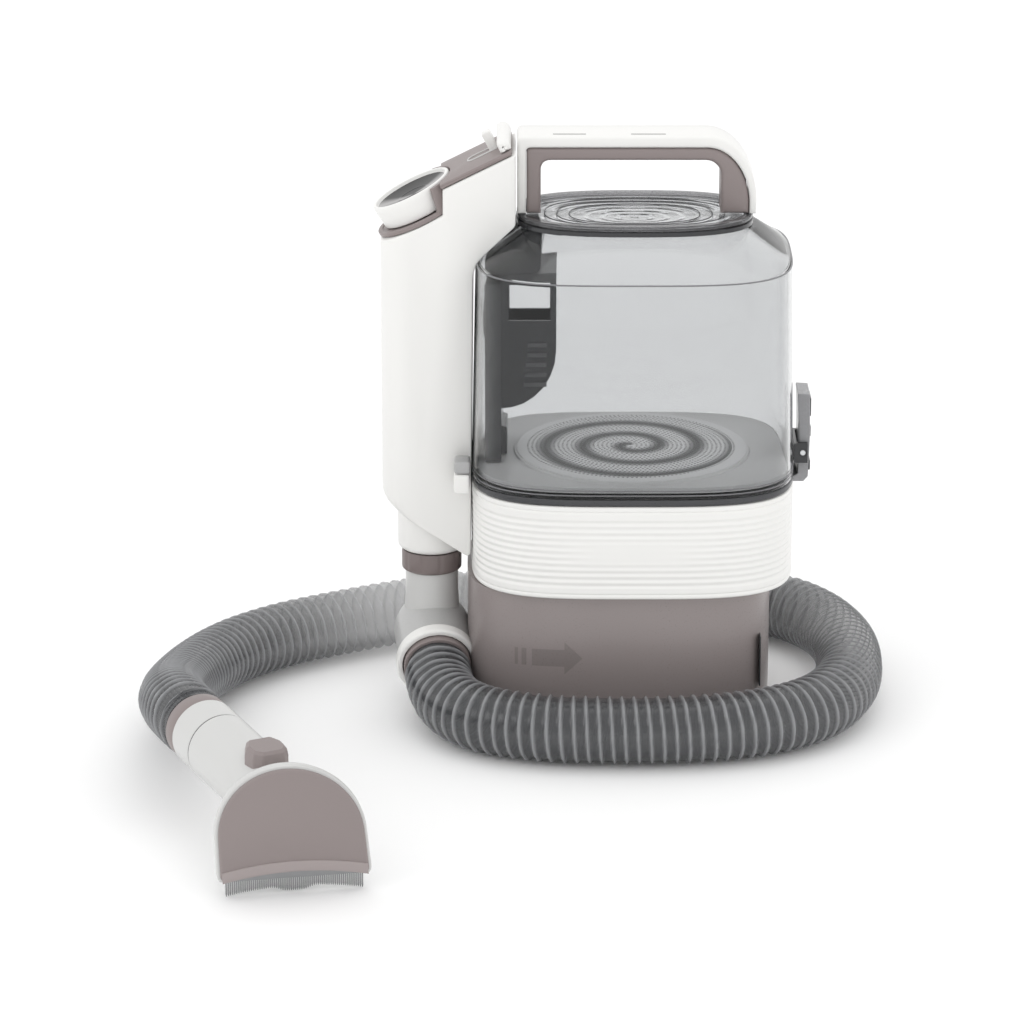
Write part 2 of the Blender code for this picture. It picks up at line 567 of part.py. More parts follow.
def arch(left_out, right_out, top, corner_x, corner_z, foot, left_radius):
    """Outline of the handle's arch, left foot up and over to the right foot."""
    points = [(left_out, foot)]
    points += arc((left_out + left_radius, top - left_radius), left_radius, left_radius, 180.0, 90.0, 4)
    centre = (right_out - corner_x, top - corner_z)
    points += arc(centre, corner_x, corner_z, 90.0, 0.0, 10)
    points.append((right_out, foot))
    return points


def make_handle():
    """White cover over a taupe grip, both one arch standing on the lid."""
    depth = HANDLE_HALF_DEPTH
    outside = arch(-67.6, 70.6, HANDLE_TOP, 29.0, 38.0, HANDLE_FOOT, 3.0)
    joint_cover = arch(-62.6, 66.6, GRIP_TOP + GAP, 25.0, 33.0, HANDLE_FOOT, 4.0)
    joint_grip = arch(-62.2, 66.2, GRIP_TOP, 24.8, 32.8, HANDLE_FOOT, 4.0)
    inside = arch(-54.0, 50.0, GRIP_UNDER, 9.0, 9.0, HANDLE_FOOT, 6.0)
    cover = side_prism("handle_cover", outside + joint_cover[::-1], -depth, depth)
    finish(soften(cover, 1.6), *WHITE)
    grip = side_prism("handle_grip", joint_grip + inside[::-1], -depth + 0.6, depth - 0.6)
    finish(soften(grip, 1.6), *TAUPE)


# ---------------------------------------------------------------- hose and tool

def make_hose():
    """Hose tube on one smooth curve through the route's points."""
    guide = [Vector(point) for point in HOSE_ROUTE]
    ends = [guide[0] * 2 - guide[1]] + guide + [guide[-1] * 2 - guide[-2]]
    line = []
    for i in range(1, len(ends) - 2):
        a, b, c, d = ends[i - 1:i + 3]
        line.append(b)
        if i % 2:
            line.append(0.5 * (b + c) + 0.0625 * (b + c - a - d))
    line.append(ends[-2])
    curve = bpy.data.curves.new("hose", "CURVE")
    curve.dimensions = "3D"
    curve.bevel_depth = HOSE_DIAMETER / 2 * MM
    curve.bevel_resolution = 4
    curve.render_resolution_u = 0
    curve.use_fill_caps = True
    spline = curve.splines.new("POLY")
    spline.points.add(len(line) - 1)
    for point, place_at in zip(spline.points, line):
        point.co = (*(place_at * MM), 1.0)
    hose = bpy.data.objects.new("hose", curve)
    bpy.context.collection.objects.link(hose)
    finish(hose, (0.16, 0.16, 0.17), 0.3)


def tool_frame():
    """Tool's own frame: x across the head, y from its face to the handle."""
    return Matrix.Translation(TOOL_PLACE) @ Matrix.Rotation(TOOL_YAW, 4, "Z")


def head_frame():
    """Frame of the head: X along its comb, Y square to its face."""
    return Matrix.Translation(HEAD_PLACE) @ Matrix.Rotation(HEAD_YAW, 4, "Z")


def head_outline(inset, low_corner, low_middle):
    """D-shaped head seen from the front, leaning a little, with a hollow lower edge."""
    half = HEAD_HALF_WIDTH - inset
    crown = 34.0
    points = [(half * u, low_middle + (low_corner - low_middle) * u * u) for u in (-1, -0.6, -0.2, 0.2, 0.6, 1)]
    points += arc((0.0, crown), half - 1.2, HEAD_TOP - crown - inset, 4.0, 176.0, 16)
    return [(x - HEAD_LEAN * (z - 10.0), z) for x, z in points]


def make_tool():
    """Comb tool: head, face, comb, ejector, handle, collar, cuff and button."""
    frame = head_frame()
    shell = side_prism("tool_head", head_outline(0.0, 9.0, 14.0), 1.6, HEAD_DEPTH, frame)
    cavity = head_outline(1.6, -20.0, -20.0)
    combine(shell, side_prism("head_cavity", cavity, 4.2, 9.4, frame))
    combine(shell, turned("head_outlet", [(13.0, 8.0), (13.0, 30.0)],
                          frame @ Vector((-4.0, 0, TOOL_HANDLE_HEIGHT)), frame.to_3x3() @ Vector((0, 1, 0)), 24))
    finish(soften(shell, 1.0), *WHITE)
    face = side_prism("tool_face", head_outline(1.6, 9.6, 14.6), -1.4, 1.2, frame)
    finish(soften(face, 0.8), *TAUPE)

    teeth = 24
    pitch = 74.0 / teeth
    line = [(37.0, 24.0), (-37.0, 24.0)]
    for tooth in range(teeth):
        x = -37.0 + pitch * tooth
        root = 8.0 + 3.0 * (1.0 - (2.0 * tooth / teeth - 1.0) ** 2)
        tip = 0.0 + 3.6 * (1.0 - (2.0 * tooth / teeth - 1.0) ** 2)
        line += [(x, root), (x, tip), (x + pitch * 0.55, tip), (x + pitch * 0.55, root)]
    line.append((37.0, 8.0))
    finish(side_prism("comb_blade", line, 4.7, 5.7, frame), *STEEL)
    ejector = block("hair_ejector", (-34.0, 6.6, 14.0), (34.0, 8.4, 20.0), frame)
    finish(soften(ejector, 0.4), *GREY)

    back = block("head_back", (-60.0, -40.0, -20.0), (60.0, HEAD_DEPTH + GAP, 120.0), frame)
    frame = tool_frame()
    rise = Vector((0.0, math.cos(TOOL_HANDLE_RISE), math.sin(TOOL_HANDLE_RISE)))
    start = Vector((0.0, 0.0, TOOL_HANDLE_HEIGHT))
    handle_end, collar_end, cuff_end = 84.0, 106.6, 116.6

    def hoop(distance, radius, upright=False):
        """Ring of points round the handle's axis, or upright against the head."""
        centre = start + rise * distance
        up = Vector((0, 0, 1)) if upright else Vector((1, 0, 0)).cross(rise)
        turns = [2.0 * math.pi * k / 32 for k in range(32)]
        return [tuple(centre + radius * (math.cos(t) * Vector((1, 0, 0)) + math.sin(t) * up)) for t in turns]

    handle = skin("tool_handle", [
        hoop(-9, 22.5, True), hoop(10, 20.6), hoop(22, TOOL_HANDLE_RADIUS), hoop(handle_end, TOOL_HANDLE_RADIUS),
        hoop(handle_end, 16.5), hoop(-9, 16.5, True)], True, frame)
    combine(handle, back)
    combine(handle, block("button_hole", (-10.6, 13.4, 52.0), (10.6, 34.6, 90.0), frame))
    finish(handle, *WHITE)
    collar = skin("tool_collar", [
        hoop(handle_end + GAP, TOOL_HANDLE_RADIUS), hoop(collar_end, TOOL_HANDLE_RADIUS),
        hoop(collar_end, 16.5), hoop(handle_end + GAP, 16.5)], True, frame)
    finish(collar, *WHITE)
    cuff = skin("tool_cuff", [
        hoop(collar_end + GAP, 19.0), hoop(cuff_end, 19.6), hoop(cuff_end, 16.0), hoop(collar_end + GAP, 16.0)],
        True, frame)
    finish(cuff, *TAUPE)

    button = block("tool_button", (-10.0, 14.0, 58.0), (10.0, 34.0, 73.0), frame)
    finish(pivot(soften(button, 1.5), frame @ Vector((0, 24.0, 65.0))), *TAUPE)


def main():
    """Clear the scene and build every piece."""
    for old in list(bpy.data.objects):
        bpy.data.objects.remove(old)
    make_base()
    make_band()
    make_motor()
    make_column()
    make_column_top()
    make_port()
    make_tank()
    make_inlet()
    make_latch()
    make_lid()
    make_handle()
    make_hose()
    make_tool()
    for piece in bpy.data.objects:
        if piece.type == "MESH":
            shade(piece)


main()
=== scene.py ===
"""Compact spot extractor: tank cleaner with a duct column, dial, ribbed hose and comb tool."""

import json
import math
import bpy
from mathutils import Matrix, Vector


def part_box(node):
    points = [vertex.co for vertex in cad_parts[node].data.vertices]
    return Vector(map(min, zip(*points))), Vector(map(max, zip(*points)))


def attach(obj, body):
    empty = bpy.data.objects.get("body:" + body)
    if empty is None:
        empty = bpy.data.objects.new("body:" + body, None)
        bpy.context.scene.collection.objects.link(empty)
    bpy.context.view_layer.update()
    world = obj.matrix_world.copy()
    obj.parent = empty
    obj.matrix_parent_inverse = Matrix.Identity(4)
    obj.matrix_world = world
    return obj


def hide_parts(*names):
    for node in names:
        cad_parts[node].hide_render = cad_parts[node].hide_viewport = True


bl_info = {
    "name": "Spot extractor",
    "version": (1, 0, 0),
    "blender": (4, 5, 0),
    "location": "View3D > Sidebar > Cleaner",
    "description": "Builds the visible pieces of a compact spot extractor",
    "category": "Add Mesh",
}

import bmesh
import bpy
import numpy as np
from mathutils import Matrix, Vector

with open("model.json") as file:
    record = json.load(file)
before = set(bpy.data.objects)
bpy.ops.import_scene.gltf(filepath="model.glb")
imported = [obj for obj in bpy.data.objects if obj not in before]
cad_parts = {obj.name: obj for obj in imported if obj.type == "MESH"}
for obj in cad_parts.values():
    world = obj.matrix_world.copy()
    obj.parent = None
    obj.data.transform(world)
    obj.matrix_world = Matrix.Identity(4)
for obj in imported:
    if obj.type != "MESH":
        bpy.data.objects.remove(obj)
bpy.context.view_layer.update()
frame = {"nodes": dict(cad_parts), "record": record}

MM = 0.001
SLOPE = math.atan(0.5)         # tilt of the column's top
DIAL_FOOT = (-121.8, 0.0, 296.6)
DIAL_AXIS = (-math.sin(SLOPE), 0.0, math.cos(SLOPE))
COLUMN_CORNER = (-68.5, 0.0, 338.4)
ELBOW_CENTRE = (-118.0, 0.0, 40.0)
ELBOW_AXIS = (0.09, -0.96, -0.26)
PORT_X = -118.3
HEAD_PLACE = (-186.8, -312.2, 0.0)
HEAD_YAW = math.radians(10.65)
HEAD_LEAN = 0.07               # shift of the head's outline to the left for each mm of height
TOOL_PLACE = (-193.4, -298.8, 46.0)
TOOL_YAW = math.radians(27.0)
TOOL_RISE = math.radians(3.5)
HOSE_DIAMETER = 0.040
OVAL_POWER = 3.6               # squareness of the tank's and the band's ovals
NECK_POWER = 2.7               # squareness of the tank's neck and the lid's rim
NECK_SHIFT = 0.6               # the neck's centre, to the right of the tank's
COLUMN_HALF_DEPTH = 28.0
COLUMN_ROUND = 18.0            # radius of the column's left edge, seen from above
BAND_HALF_WIDTH = 94.5
COMB_HALF_WIDTH = 37.0
HEAD_HALF_WIDTH = 42.0
HOSE_PLUG = 8.0 * MM           # plain end of the hose inside the tool's cuff
FLOOR_REACH = 12.0
CAMERA_RISE = math.radians(18.3)
CAMERA_REACH = 2.8
CAMERA_AIM = (-0.0706, 0.0, 0.114)
CAMERA_LENS = 166.0

# The hose's centre line in millimetres, from the elbow round the base to the tool
HOSE_ROUTE = MM * np.array([
    (-114.4, -38.4, 29.6), (-113.2, -51.0, 26.2), (-109.8, -66.0, 22.8),
    (-100.5, -84.5, 20.8), (-83.0, -101.0, 20.3), (-52.0, -112.8, 20.3),
    (-18.0, -116.3, 20.3), (20.0, -115.6, 20.3), (55.0, -110.0, 20.3),
    (86.0, -97.0, 20.3), (110.5, -75.0, 20.3), (125.5, -43.0, 20.3),
    (131.0, -5.0, 20.3), (129.0, 33.0, 20.3), (118.5, 67.0, 20.3),
    (97.5, 95.5, 20.3), (65.0, 112.0, 20.3), (26.0, 117.6, 20.3),
    (-17.0, 117.5, 20.3), (-60.0, 113.5, 20.3), (-101.0, 104.0, 20.3),
    (-141.0, 87.0, 20.3), (-178.0, 66.5, 20.3), (-208.0, 47.0, 20.3),
    (-232.0, 24.0, 20.4), (-247.0, -0.5, 21.4), (-257.0, -30.0, 24.2),
    (-262.6, -61.0, 28.8), (-265.0, -92.0, 35.0), (-264.8, -121.0, 42.2),
    (-262.4, -146.0, 48.6), (-258.8, -163.5, 52.0),
    (-252.8, -182.3, 54.0), (-249.6, -188.5, 53.6), (-246.6, -194.4, 53.2),
])


# ------------------------------------------------------------ settings

def length(label, text, default, low, high):
    """A size in metres that a user can change."""
    return bpy.props.FloatProperty(name=label, description=text, default=default, min=low, max=high,
                                   precision=5, unit="LENGTH")


def tint(label, text, default):
    """A surface colour that a user can change."""
    return bpy.props.FloatVectorProperty(name=label, description=text, default=default, size=3,
                                         min=0.0, max=1.0, subtype="COLOR")


class CleanerSizes(bpy.types.PropertyGroup):
    """Sizes of the visible details."""

    rib_count: bpy.props.IntProperty(
        name="Band ribs", description="Ribs moulded round the white band", default=11, min=0, max=20)
    rib_depth: length("Rib depth", "Depth of the grooves between the ribs", 0.00075, 0.0, 0.002)
    hose_pitch: length("Hose pitch", "Distance between two turns of the hose's rib", 0.007, 0.004, 0.015)
    hose_rib: length("Hose rib", "Height of the hose's rib above its wall", 0.0017, 0.0003, 0.003)
    tooth_count: bpy.props.IntProperty(
        name="Comb teeth", description="Teeth along the comb", default=66, min=10, max=120)


class CleanerColours(bpy.types.PropertyGroup):
    """Colours of the finishes."""

    white: tint("Warm white", "Column, band and handle cover", (0.84, 0.835, 0.815))
    taupe: tint("Taupe", "Grip, comb tool's face and lock ring", (0.265, 0.225, 0.22))
    smoke: tint("Smoke", "Lower housing", (0.27, 0.235, 0.23))
    pale: tint("Pale grey", "Elbow and tool handle", (0.60, 0.60, 0.59))
    glass: tint("Smoked clear", "Tank", (0.735, 0.742, 0.748))
    dark: tint("Near black", "Inlet duct, seals and rims", (0.03, 0.031, 0.034))
    hose: tint("Hose wall", "Thin wall between the hose's ribs", (0.05, 0.052, 0.056))
    steel: tint("Steel", "Filter screen and comb", (0.62, 0.63, 0.64))


def sizes():
    """The sizes in use."""
    return bpy.context.scene.cleaner_sizes


def colours():
    """The colours in use."""
    return bpy.context.scene.cleaner_colours


# ------------------------------------------------------------ shapes

def oval(half_x, half_y, power=OVAL_POWER, centre_x=0.0, count=120):
    """Loop |x/half_x|^power + |y/half_y|^power = 1, evenly spaced along its length."""
    turn = np.linspace(0.0, 2.0 * np.pi, 4001)
    reach = 2.0 / power
    x = half_x * np.sign(np.cos(turn)) * np.abs(np.cos(turn)) ** reach
    y = half_y * np.sign(np.sin(turn)) * np.abs(np.sin(turn)) ** reach
    run = np.concatenate([[0.0], np.cumsum(np.hypot(np.diff(x), np.diff(y)))])
    even = np.linspace(0.0, run[-1], count, endpoint=False)
    return np.stack([np.interp(even, run, x) + centre_x, np.interp(even, run, y)], axis=1)


def rounded(corners, cut, steps=5, closed=True):
    """Corners replaced by quadratic curves that start and end a cut length along the sides."""
    corners = np.asarray(corners, float)
    cut = np.broadcast_to(np.asarray(cut, float), (len(corners),))[:, None]
    before, after = np.roll(corners, 1, axis=0), np.roll(corners, -1, axis=0)
    back, ahead = before - corners, after - corners
    back_run = np.linalg.norm(back, axis=1, keepdims=True)
    ahead_run = np.linalg.norm(ahead, axis=1, keepdims=True)
    start = corners + back / np.maximum(back_run, 1e-9) * np.minimum(cut, 0.49 * back_run)
    end = corners + ahead / np.maximum(ahead_run, 1e-9) * np.minimum(cut, 0.49 * ahead_run)
    if not closed:
        start[0] = end[0] = corners[0]
        start[-1] = end[-1] = corners[-1]
    t = np.linspace(0.0, 1.0, steps + 1)[None, :, None]
    curve = (1 - t) ** 2 * start[:, None] + 2 * t * (1 - t) * corners[:, None] + t ** 2 * end[:, None]
    return curve.reshape(-1, corners.shape[1])


def offset(outline, distance):
    """Outline moved inwards by distance, each point along the mean of its two sides' normals."""
    outline = np.asarray(outline, float)
    area = np.sum(outline[:, 0] * np.roll(outline[:, 1], -1) - np.roll(outline[:, 0], -1) * outline[:, 1])
    ahead = np.roll(outline, -1, axis=0) - outline
    ahead /= np.maximum(np.linalg.norm(ahead, axis=1, keepdims=True), 1e-9)
    normal = np.stack([-ahead[:, 1], ahead[:, 0]], axis=1) * (1.0 if area > 0 else -1.0)
    mean = normal + np.roll(normal, 1, axis=0)
    mean /= np.maximum(np.linalg.norm(mean, axis=1, keepdims=True), 1e-9)
    slant = np.clip(np.sum(mean * normal, axis=1, keepdims=True), 0.45, 1.0)
    return outline + mean * distance / slant


def smooth(piece, angle=32.0):
    """Smooth shading with the sharp edges kept."""
    piece.data.shade_smooth()
    piece.data.set_sharp_from_angle(angle=math.radians(angle))


def surface(name, grid, material, wrap_rows=False, place=None, angle=32.0):
    """Closed skin over a grid of points in mm: columns always wrap, rows wrap or end in caps."""
    grid = np.asarray(grid, float)
    rows, columns = grid.shape[:2]
    points = grid.reshape(-1, 3)
    if place is not None:
        turn = np.array(place)
        points = points @ turn[:3, :3].T + turn[:3, 3]
    index = np.arange(rows * columns).reshape(rows, columns)
    low = index if wrap_rows else index[:-1]
    high = np.roll(index, -1, axis=0) if wrap_rows else index[1:]
    quads = np.stack([low, np.roll(low, -1, axis=1), np.roll(high, -1, axis=1), high], axis=-1).reshape(-1, 4)
    faces = quads.tolist()
    if not wrap_rows:
        faces += [index[0][::-1].tolist(), index[-1].tolist()]
    mesh = bpy.data.meshes.new(name)
    mesh.from_pydata((points * MM).tolist(), [], faces)
    column = np.tile(np.arange(columns), (len(low), 1))
    row = np.tile(np.arange(len(low))[:, None], (1, columns))
    u = np.stack([column, column + 1, column + 1, column], axis=-1).reshape(-1) / columns
    v = np.stack([row, row, row + 1, row + 1], axis=-1).reshape(-1) / max(len(low), 1)
    uv = np.zeros((len(mesh.loops), 2))
    uv[:len(u), 0], uv[:len(u), 1] = u, v
    mesh.uv_layers.new(name="UVMap").data.foreach_set("uv", uv.reshape(-1))
    bm = bmesh.new()
    bm.from_mesh(mesh)
    bmesh.ops.recalc_face_normals(bm, faces=bm.faces)
    bm.to_mesh(mesh)
    bm.free()
    mesh.materials.append(material)
    piece = bpy.data.objects.new(name, mesh)
    bpy.context.collection.objects.link(piece)
    smooth(piece, angle)
    return piece


def stack_levels(levels, count=120):
    """Rows of points, one for each (height, half_x, half_y, power, centre_x) level."""
    return np.stack([
        np.column_stack([oval(a, b, power, centre, count), np.full(count, z)])
        for z, a, b, power, centre in levels])


def turned(name, profile, material, origin=(0, 0, 0), axis=(0, 0, 1), steps=64, closed=True, angle=32.0):
    """Profile of (radius, height) pairs carried round an axis."""
    profile = np.asarray(profile, float)
    turn = np.linspace(0.0, 2.0 * np.pi, steps, endpoint=False)[None, :]
    radius, height = profile[:, :1], profile[:, 1:]
    grid = np.stack([radius * np.cos(turn), radius * np.sin(turn), height + 0.0 * turn], axis=-1)
    place = Matrix.Translation(Vector(origin)) @ Vector(axis).to_track_quat("Z", "Y").to_matrix().to_4x4()
    return surface(name, grid, material, closed, place, angle)


def soft_prism(name, outline, low, high, material, edge=1.0, place=None, steps=3, angle=32.0):
    """Outline in X and Z carried along Y from low to high, both ends rounded over by a quarter circle."""
    quarter = np.linspace(0.0, np.pi / 2.0, steps + 1)
    depth = edge * (1.0 - np.cos(quarter))
    inset = edge * (1.0 - np.sin(quarter))
    spots = np.concatenate([low + depth, high - depth[::-1]])
    insets = np.concatenate([inset, inset[::-1]])
    rows = []
    for spot, amount in zip(spots, insets):
        loop = offset(outline, amount)
        rows.append(np.column_stack([loop[:, 0], np.full(len(loop), spot), loop[:, 1]]))
    return surface(name, np.stack(rows), material, False, place, angle)


def soft_block(name, low, high, material, edge=1.0, corner=1.5, place=None):
    """Box between two corners with all its edges rounded."""
    corners = [(low[0], low[2]), (high[0], low[2]), (high[0], high[2]), (low[0], high[2])]
    return soft_prism(name, rounded(corners, corner, 4), low[1], high[1], material, edge, place)


def carve(piece, cutter):
    """Take the cutter's shape out of a piece and drop the cutter."""
    step = piece.modifiers.new("carve", "BOOLEAN")
    step.operation = "DIFFERENCE"
    step.solver = "EXACT"
    step.object = cutter
    graph = bpy.context.evaluated_depsgraph_get()
    mesh = bpy.data.meshes.new_from_object(piece.evaluated_get(graph))
    if not mesh.polygons:
        raise RuntimeError("carving left nothing of " + piece.name)
    piece.modifiers.clear()
    piece.data = mesh
    bpy.data.objects.remove(cutter)
    smooth(piece)
    return piece


def refined(name, node, material, width=0.6, segments=2, angle=32.0):
    """Copy of a CAD node with its triangles merged, flat faces joined and edges rounded."""
    source = frame["nodes"][node]
    bm = bmesh.new()
    bm.from_mesh(source.data)
    bm.transform(source.matrix_world)
    bmesh.ops.remove_doubles(bm, verts=bm.verts, dist=1e-6)
    bmesh.ops.dissolve_limit(bm, angle_limit=math.radians(1.0), verts=bm.verts, edges=bm.edges)
    bmesh.ops.recalc_face_normals(bm, faces=bm.faces)
    mesh = bpy.data.meshes.new(name)
    bm.to_mesh(mesh)
    bm.free()
    mesh.materials.append(material)
    piece = bpy.data.objects.new(name, mesh)
    bpy.context.collection.objects.link(piece)
    bevel = piece.modifiers.new("edges", "BEVEL")
    bevel.width = width * MM
    bevel.segments = segments
    bevel.limit_method = "ANGLE"
    bevel.angle_limit = math.radians(angle)
    bevel.harden_normals = True
    smooth(piece, angle)
    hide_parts(node)
    return piece


def settle(piece, body, slot, *nodes):
    """Name the body a piece rides on and the CAD nodes that it stands for; the finish slot is not used."""
    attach(piece, body)
    if nodes:
        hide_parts(*nodes)
    return piece


def head_frame():
    """Place of the comb tool's head: X along the comb, Y square to its face."""
    return Matrix.Translation(Vector(HEAD_PLACE)) @ Matrix.Rotation(HEAD_YAW, 4, "Z")


def handle_frame():
    """Place of the tool's handle: its start on the axis, Y along the axis to the hose."""
    turn = Matrix.Rotation(TOOL_YAW, 4, "Z") @ Matrix.Rotation(TOOL_RISE, 4, "X")
    return Matrix.Translation(Vector(TOOL_PLACE)) @ turn


def slope_frame():
    """Place of the column's sloped top: X up the slope to its corner, Z square to it."""
    turn = Matrix.Rotation(-SLOPE, 4, "Y")
    return Matrix.Translation(Vector(COLUMN_CORNER)) @ turn


# ------------------------------------------------------------ finishes

def socket(group, name, kind, default=None, way="INPUT"):
    """A named input or output on a shader group."""
    made = group.interface.new_socket(name=name, in_out=way, socket_type=kind)
    if default is not None:
        made.default_value = default
    return made


def add(tree, kind, links=None, **values):
    """A node with its properties set and its inputs linked or filled."""
    node = tree.nodes.new(kind)
    for key, value in values.items():
        setattr(node, key, value)
    for key, value in (links or {}).items():
        target = node.inputs[key]
        if isinstance(value, bpy.types.NodeSocket):
            tree.links.new(value, target)
        else:
            target.default_value = value
    return node


def calculator(tree):
    """A function that adds a math node over sockets or numbers to a tree and gives its result."""
    def calc(operation, *values):
        return add(tree, "ShaderNodeMath", dict(enumerate(values)), operation=operation).outputs[0]

    return calc


def moulded_group():
    """Moulded plastic: a fine grain in height and roughness and a broad drift of tone."""
    group = bpy.data.node_groups.get("Moulded plastic")
    if group:
        return group
    group = bpy.data.node_groups.new("Moulded plastic", "ShaderNodeTree")
    socket(group, "Colour", "NodeSocketColor", (0.8, 0.8, 0.8, 1.0))
    socket(group, "Roughness", "NodeSocketFloat", 0.4)
    socket(group, "Grain Scale", "NodeSocketFloat", 1400.0)
    socket(group, "Drift", "NodeSocketFloat", 0.04)
    socket(group, "Colour", "NodeSocketColor", way="OUTPUT")
    socket(group, "Roughness", "NodeSocketFloat", way="OUTPUT")
    socket(group, "Height", "NodeSocketFloat", way="OUTPUT")
    given = group.nodes.new("NodeGroupInput")
    spot = add(group, "ShaderNodeTexCoord")
    fine = add(group, "ShaderNodeTexNoise", {
        "Vector": spot.outputs["Object"], "Scale": given.outputs["Grain Scale"], "Detail": 3.0})
    broad = add(group, "ShaderNodeTexNoise", {"Vector": spot.outputs["Object"], "Scale": 16.0, "Detail": 2.0})
    half = add(group, "ShaderNodeMath", {0: broad.outputs["Fac"], 1: 0.5}, operation="SUBTRACT")
    swing = add(group, "ShaderNodeMath", {0: half.outputs[0], 1: given.outputs["Drift"]},
                operation="MULTIPLY")
    lift = add(group, "ShaderNodeMath", {0: swing.outputs[0], 1: 1.0}, operation="ADD")
    shade = add(group, "ShaderNodeVectorMath", {0: given.outputs["Colour"], 1: lift.outputs[0]},
                operation="MULTIPLY")
    speck = add(group, "ShaderNodeMapRange", {
        "Value": fine.outputs["Fac"], "From Min": 0.3, "From Max": 0.7, "To Min": -0.04, "To Max": 0.06})
    rough = add(group, "ShaderNodeMath", {0: given.outputs["Roughness"], 1: speck.outputs["Result"]},
                operation="ADD")
    out = group.nodes.new("NodeGroupOutput")
    group.links.new(shade.outputs[0], out.inputs["Colour"])
    group.links.new(rough.outputs[0], out.inputs["Roughness"])
    group.links.new(fine.outputs["Fac"], out.inputs["Height"])
    return group


def turned_metal_group():
    """Turned metal: fine rings round the centre over a dark painted reflection, and one painted highlight
    streak along it.
    """
    group = bpy.data.node_groups.get("Turned metal")
    if group:
        return group
    group = bpy.data.node_groups.new("Turned metal", "ShaderNodeTree")
    socket(group, "Dark", "NodeSocketColor", (0.05, 0.05, 0.05, 1.0))
    socket(group, "Light", "NodeSocketColor", (0.7, 0.7, 0.7, 1.0))
    socket(group, "Along", "NodeSocketFloat", 0.0)
    socket(group, "Across", "NodeSocketFloat", 0.0)
    socket(group, "Colour", "NodeSocketColor", way="OUTPUT")
    socket(group, "Height", "NodeSocketFloat", way="OUTPUT")
    given = group.nodes.new("NodeGroupInput")
    along = add(group, "ShaderNodeMath", {0: given.outputs["Along"]}, operation="ABSOLUTE")
    across = add(group, "ShaderNodeMath", {0: given.outputs["Across"]}, operation="ABSOLUTE")
    ratio = add(group, "ShaderNodeMath", {0: across.outputs[0], 1: along.outputs[0]}, operation="DIVIDE")
    # Painted highlight: a bright streak along the Along direction, fading out across it.
    painted_highlight = add(group, "ShaderNodeMapRange", {
        "Value": ratio.outputs[0], "From Min": 0.05, "From Max": 0.62, "To Min": 1.0, "To Max": 0.0})
    far = add(group, "ShaderNodeMath", {0: along.outputs[0], 1: along.outputs[0]}, operation="MULTIPLY")
    wide = add(group, "ShaderNodeMath", {0: across.outputs[0], 1: across.outputs[0], 2: far.outputs[0]},
               operation="MULTIPLY_ADD")
    radius = add(group, "ShaderNodeMath", {0: wide.outputs[0]}, operation="SQRT")
    rings = add(group, "ShaderNodeTexNoise", {"W": radius.outputs[0], "Scale": 2500.0, "Detail": 4.0},
                noise_dimensions="1D")
    mixed = add(group, "ShaderNodeMath", {0: rings.outputs["Fac"], 1: 0.16, 2: painted_highlight.outputs["Result"]},
                operation="MULTIPLY_ADD")
    blend = add(group, "ShaderNodeMix", data_type="RGBA")
    group.links.new(mixed.outputs[0], blend.inputs["Factor"])
    group.links.new(given.outputs["Dark"], blend.inputs[6])
    group.links.new(given.outputs["Light"], blend.inputs[7])
    out = group.nodes.new("NodeGroupOutput")
    group.links.new(blend.outputs[2], out.inputs["Colour"])
    group.links.new(rings.outputs["Fac"], out.inputs["Height"])
    return group


def shader(name):
    """A new material, its tree and its Principled shader."""
    material = bpy.data.materials.new(name)
    material.use_nodes = True
    tree = material.node_tree
    return material, tree, tree.nodes["Principled BSDF"]


def plastic(name, colour, roughness=0.4, grain=1400.0, drift=0.04, bump=0.08, coat=0.0, metallic=0.0,
            clear=0.0, bend=1.45):
    """Moulded plastic, rubber, metal or clear plastic, all on the moulded plastic group."""
    made = bpy.data.materials.get(name)
    if made:
        return made
    material, tree, principled = shader(name)
    skin = add(tree, "ShaderNodeGroup", node_tree=moulded_group())
    skin.inputs["Colour"].default_value = (*colour, 1.0)
    skin.inputs["Roughness"].default_value = roughness
    skin.inputs["Grain Scale"].default_value = grain
    skin.inputs["Drift"].default_value = drift
    tree.links.new(skin.outputs["Colour"], principled.inputs["Base Color"])
    tree.links.new(skin.outputs["Roughness"], principled.inputs["Roughness"])
    if bump:
        relief = add(tree, "ShaderNodeBump", {"Height": skin.outputs["Height"], "Strength": bump,
                                              "Distance": 0.0002})
        tree.links.new(relief.outputs["Normal"], principled.inputs["Normal"])
    principled.inputs["Metallic"].default_value = metallic
    principled.inputs["Coat Weight"].default_value = coat
    principled.inputs["Coat Roughness"].default_value = 0.12
    principled.inputs["Transmission Weight"].default_value = clear
    principled.inputs["IOR"].default_value = bend
    return material


def white():
    """Warm white satin plastic."""
    return plastic("warm white plastic", colours().white, 0.38, coat=0.15)


def taupe():
    """Warm grey-brown satin plastic."""
    return plastic("taupe plastic", colours().taupe, 0.42)


def pale():
    """Pale grey satin plastic."""
    return plastic("pale grey plastic", colours().pale, 0.33, coat=0.2)


def dark():
    """Near-black glossy plastic."""
    return plastic("near black plastic", colours().dark, 0.22, coat=0.3)


def clear():
    """Smoked clear plastic of the tank and the lid."""
    return plastic("smoked clear plastic", colours().glass, 0.03, drift=0.02, bump=0.0, clear=1.0, bend=1.3)


def clear_dark():
    """Dark see-through plastic of the lid's rim."""
    return plastic("dark clear plastic", (0.33, 0.33, 0.34), 0.08, drift=0.02, bump=0.0, clear=0.85,
                   bend=1.35)


def steel():
    """Plain bright steel."""
    return plastic("bright steel", colours().steel, 0.28, metallic=1.0)


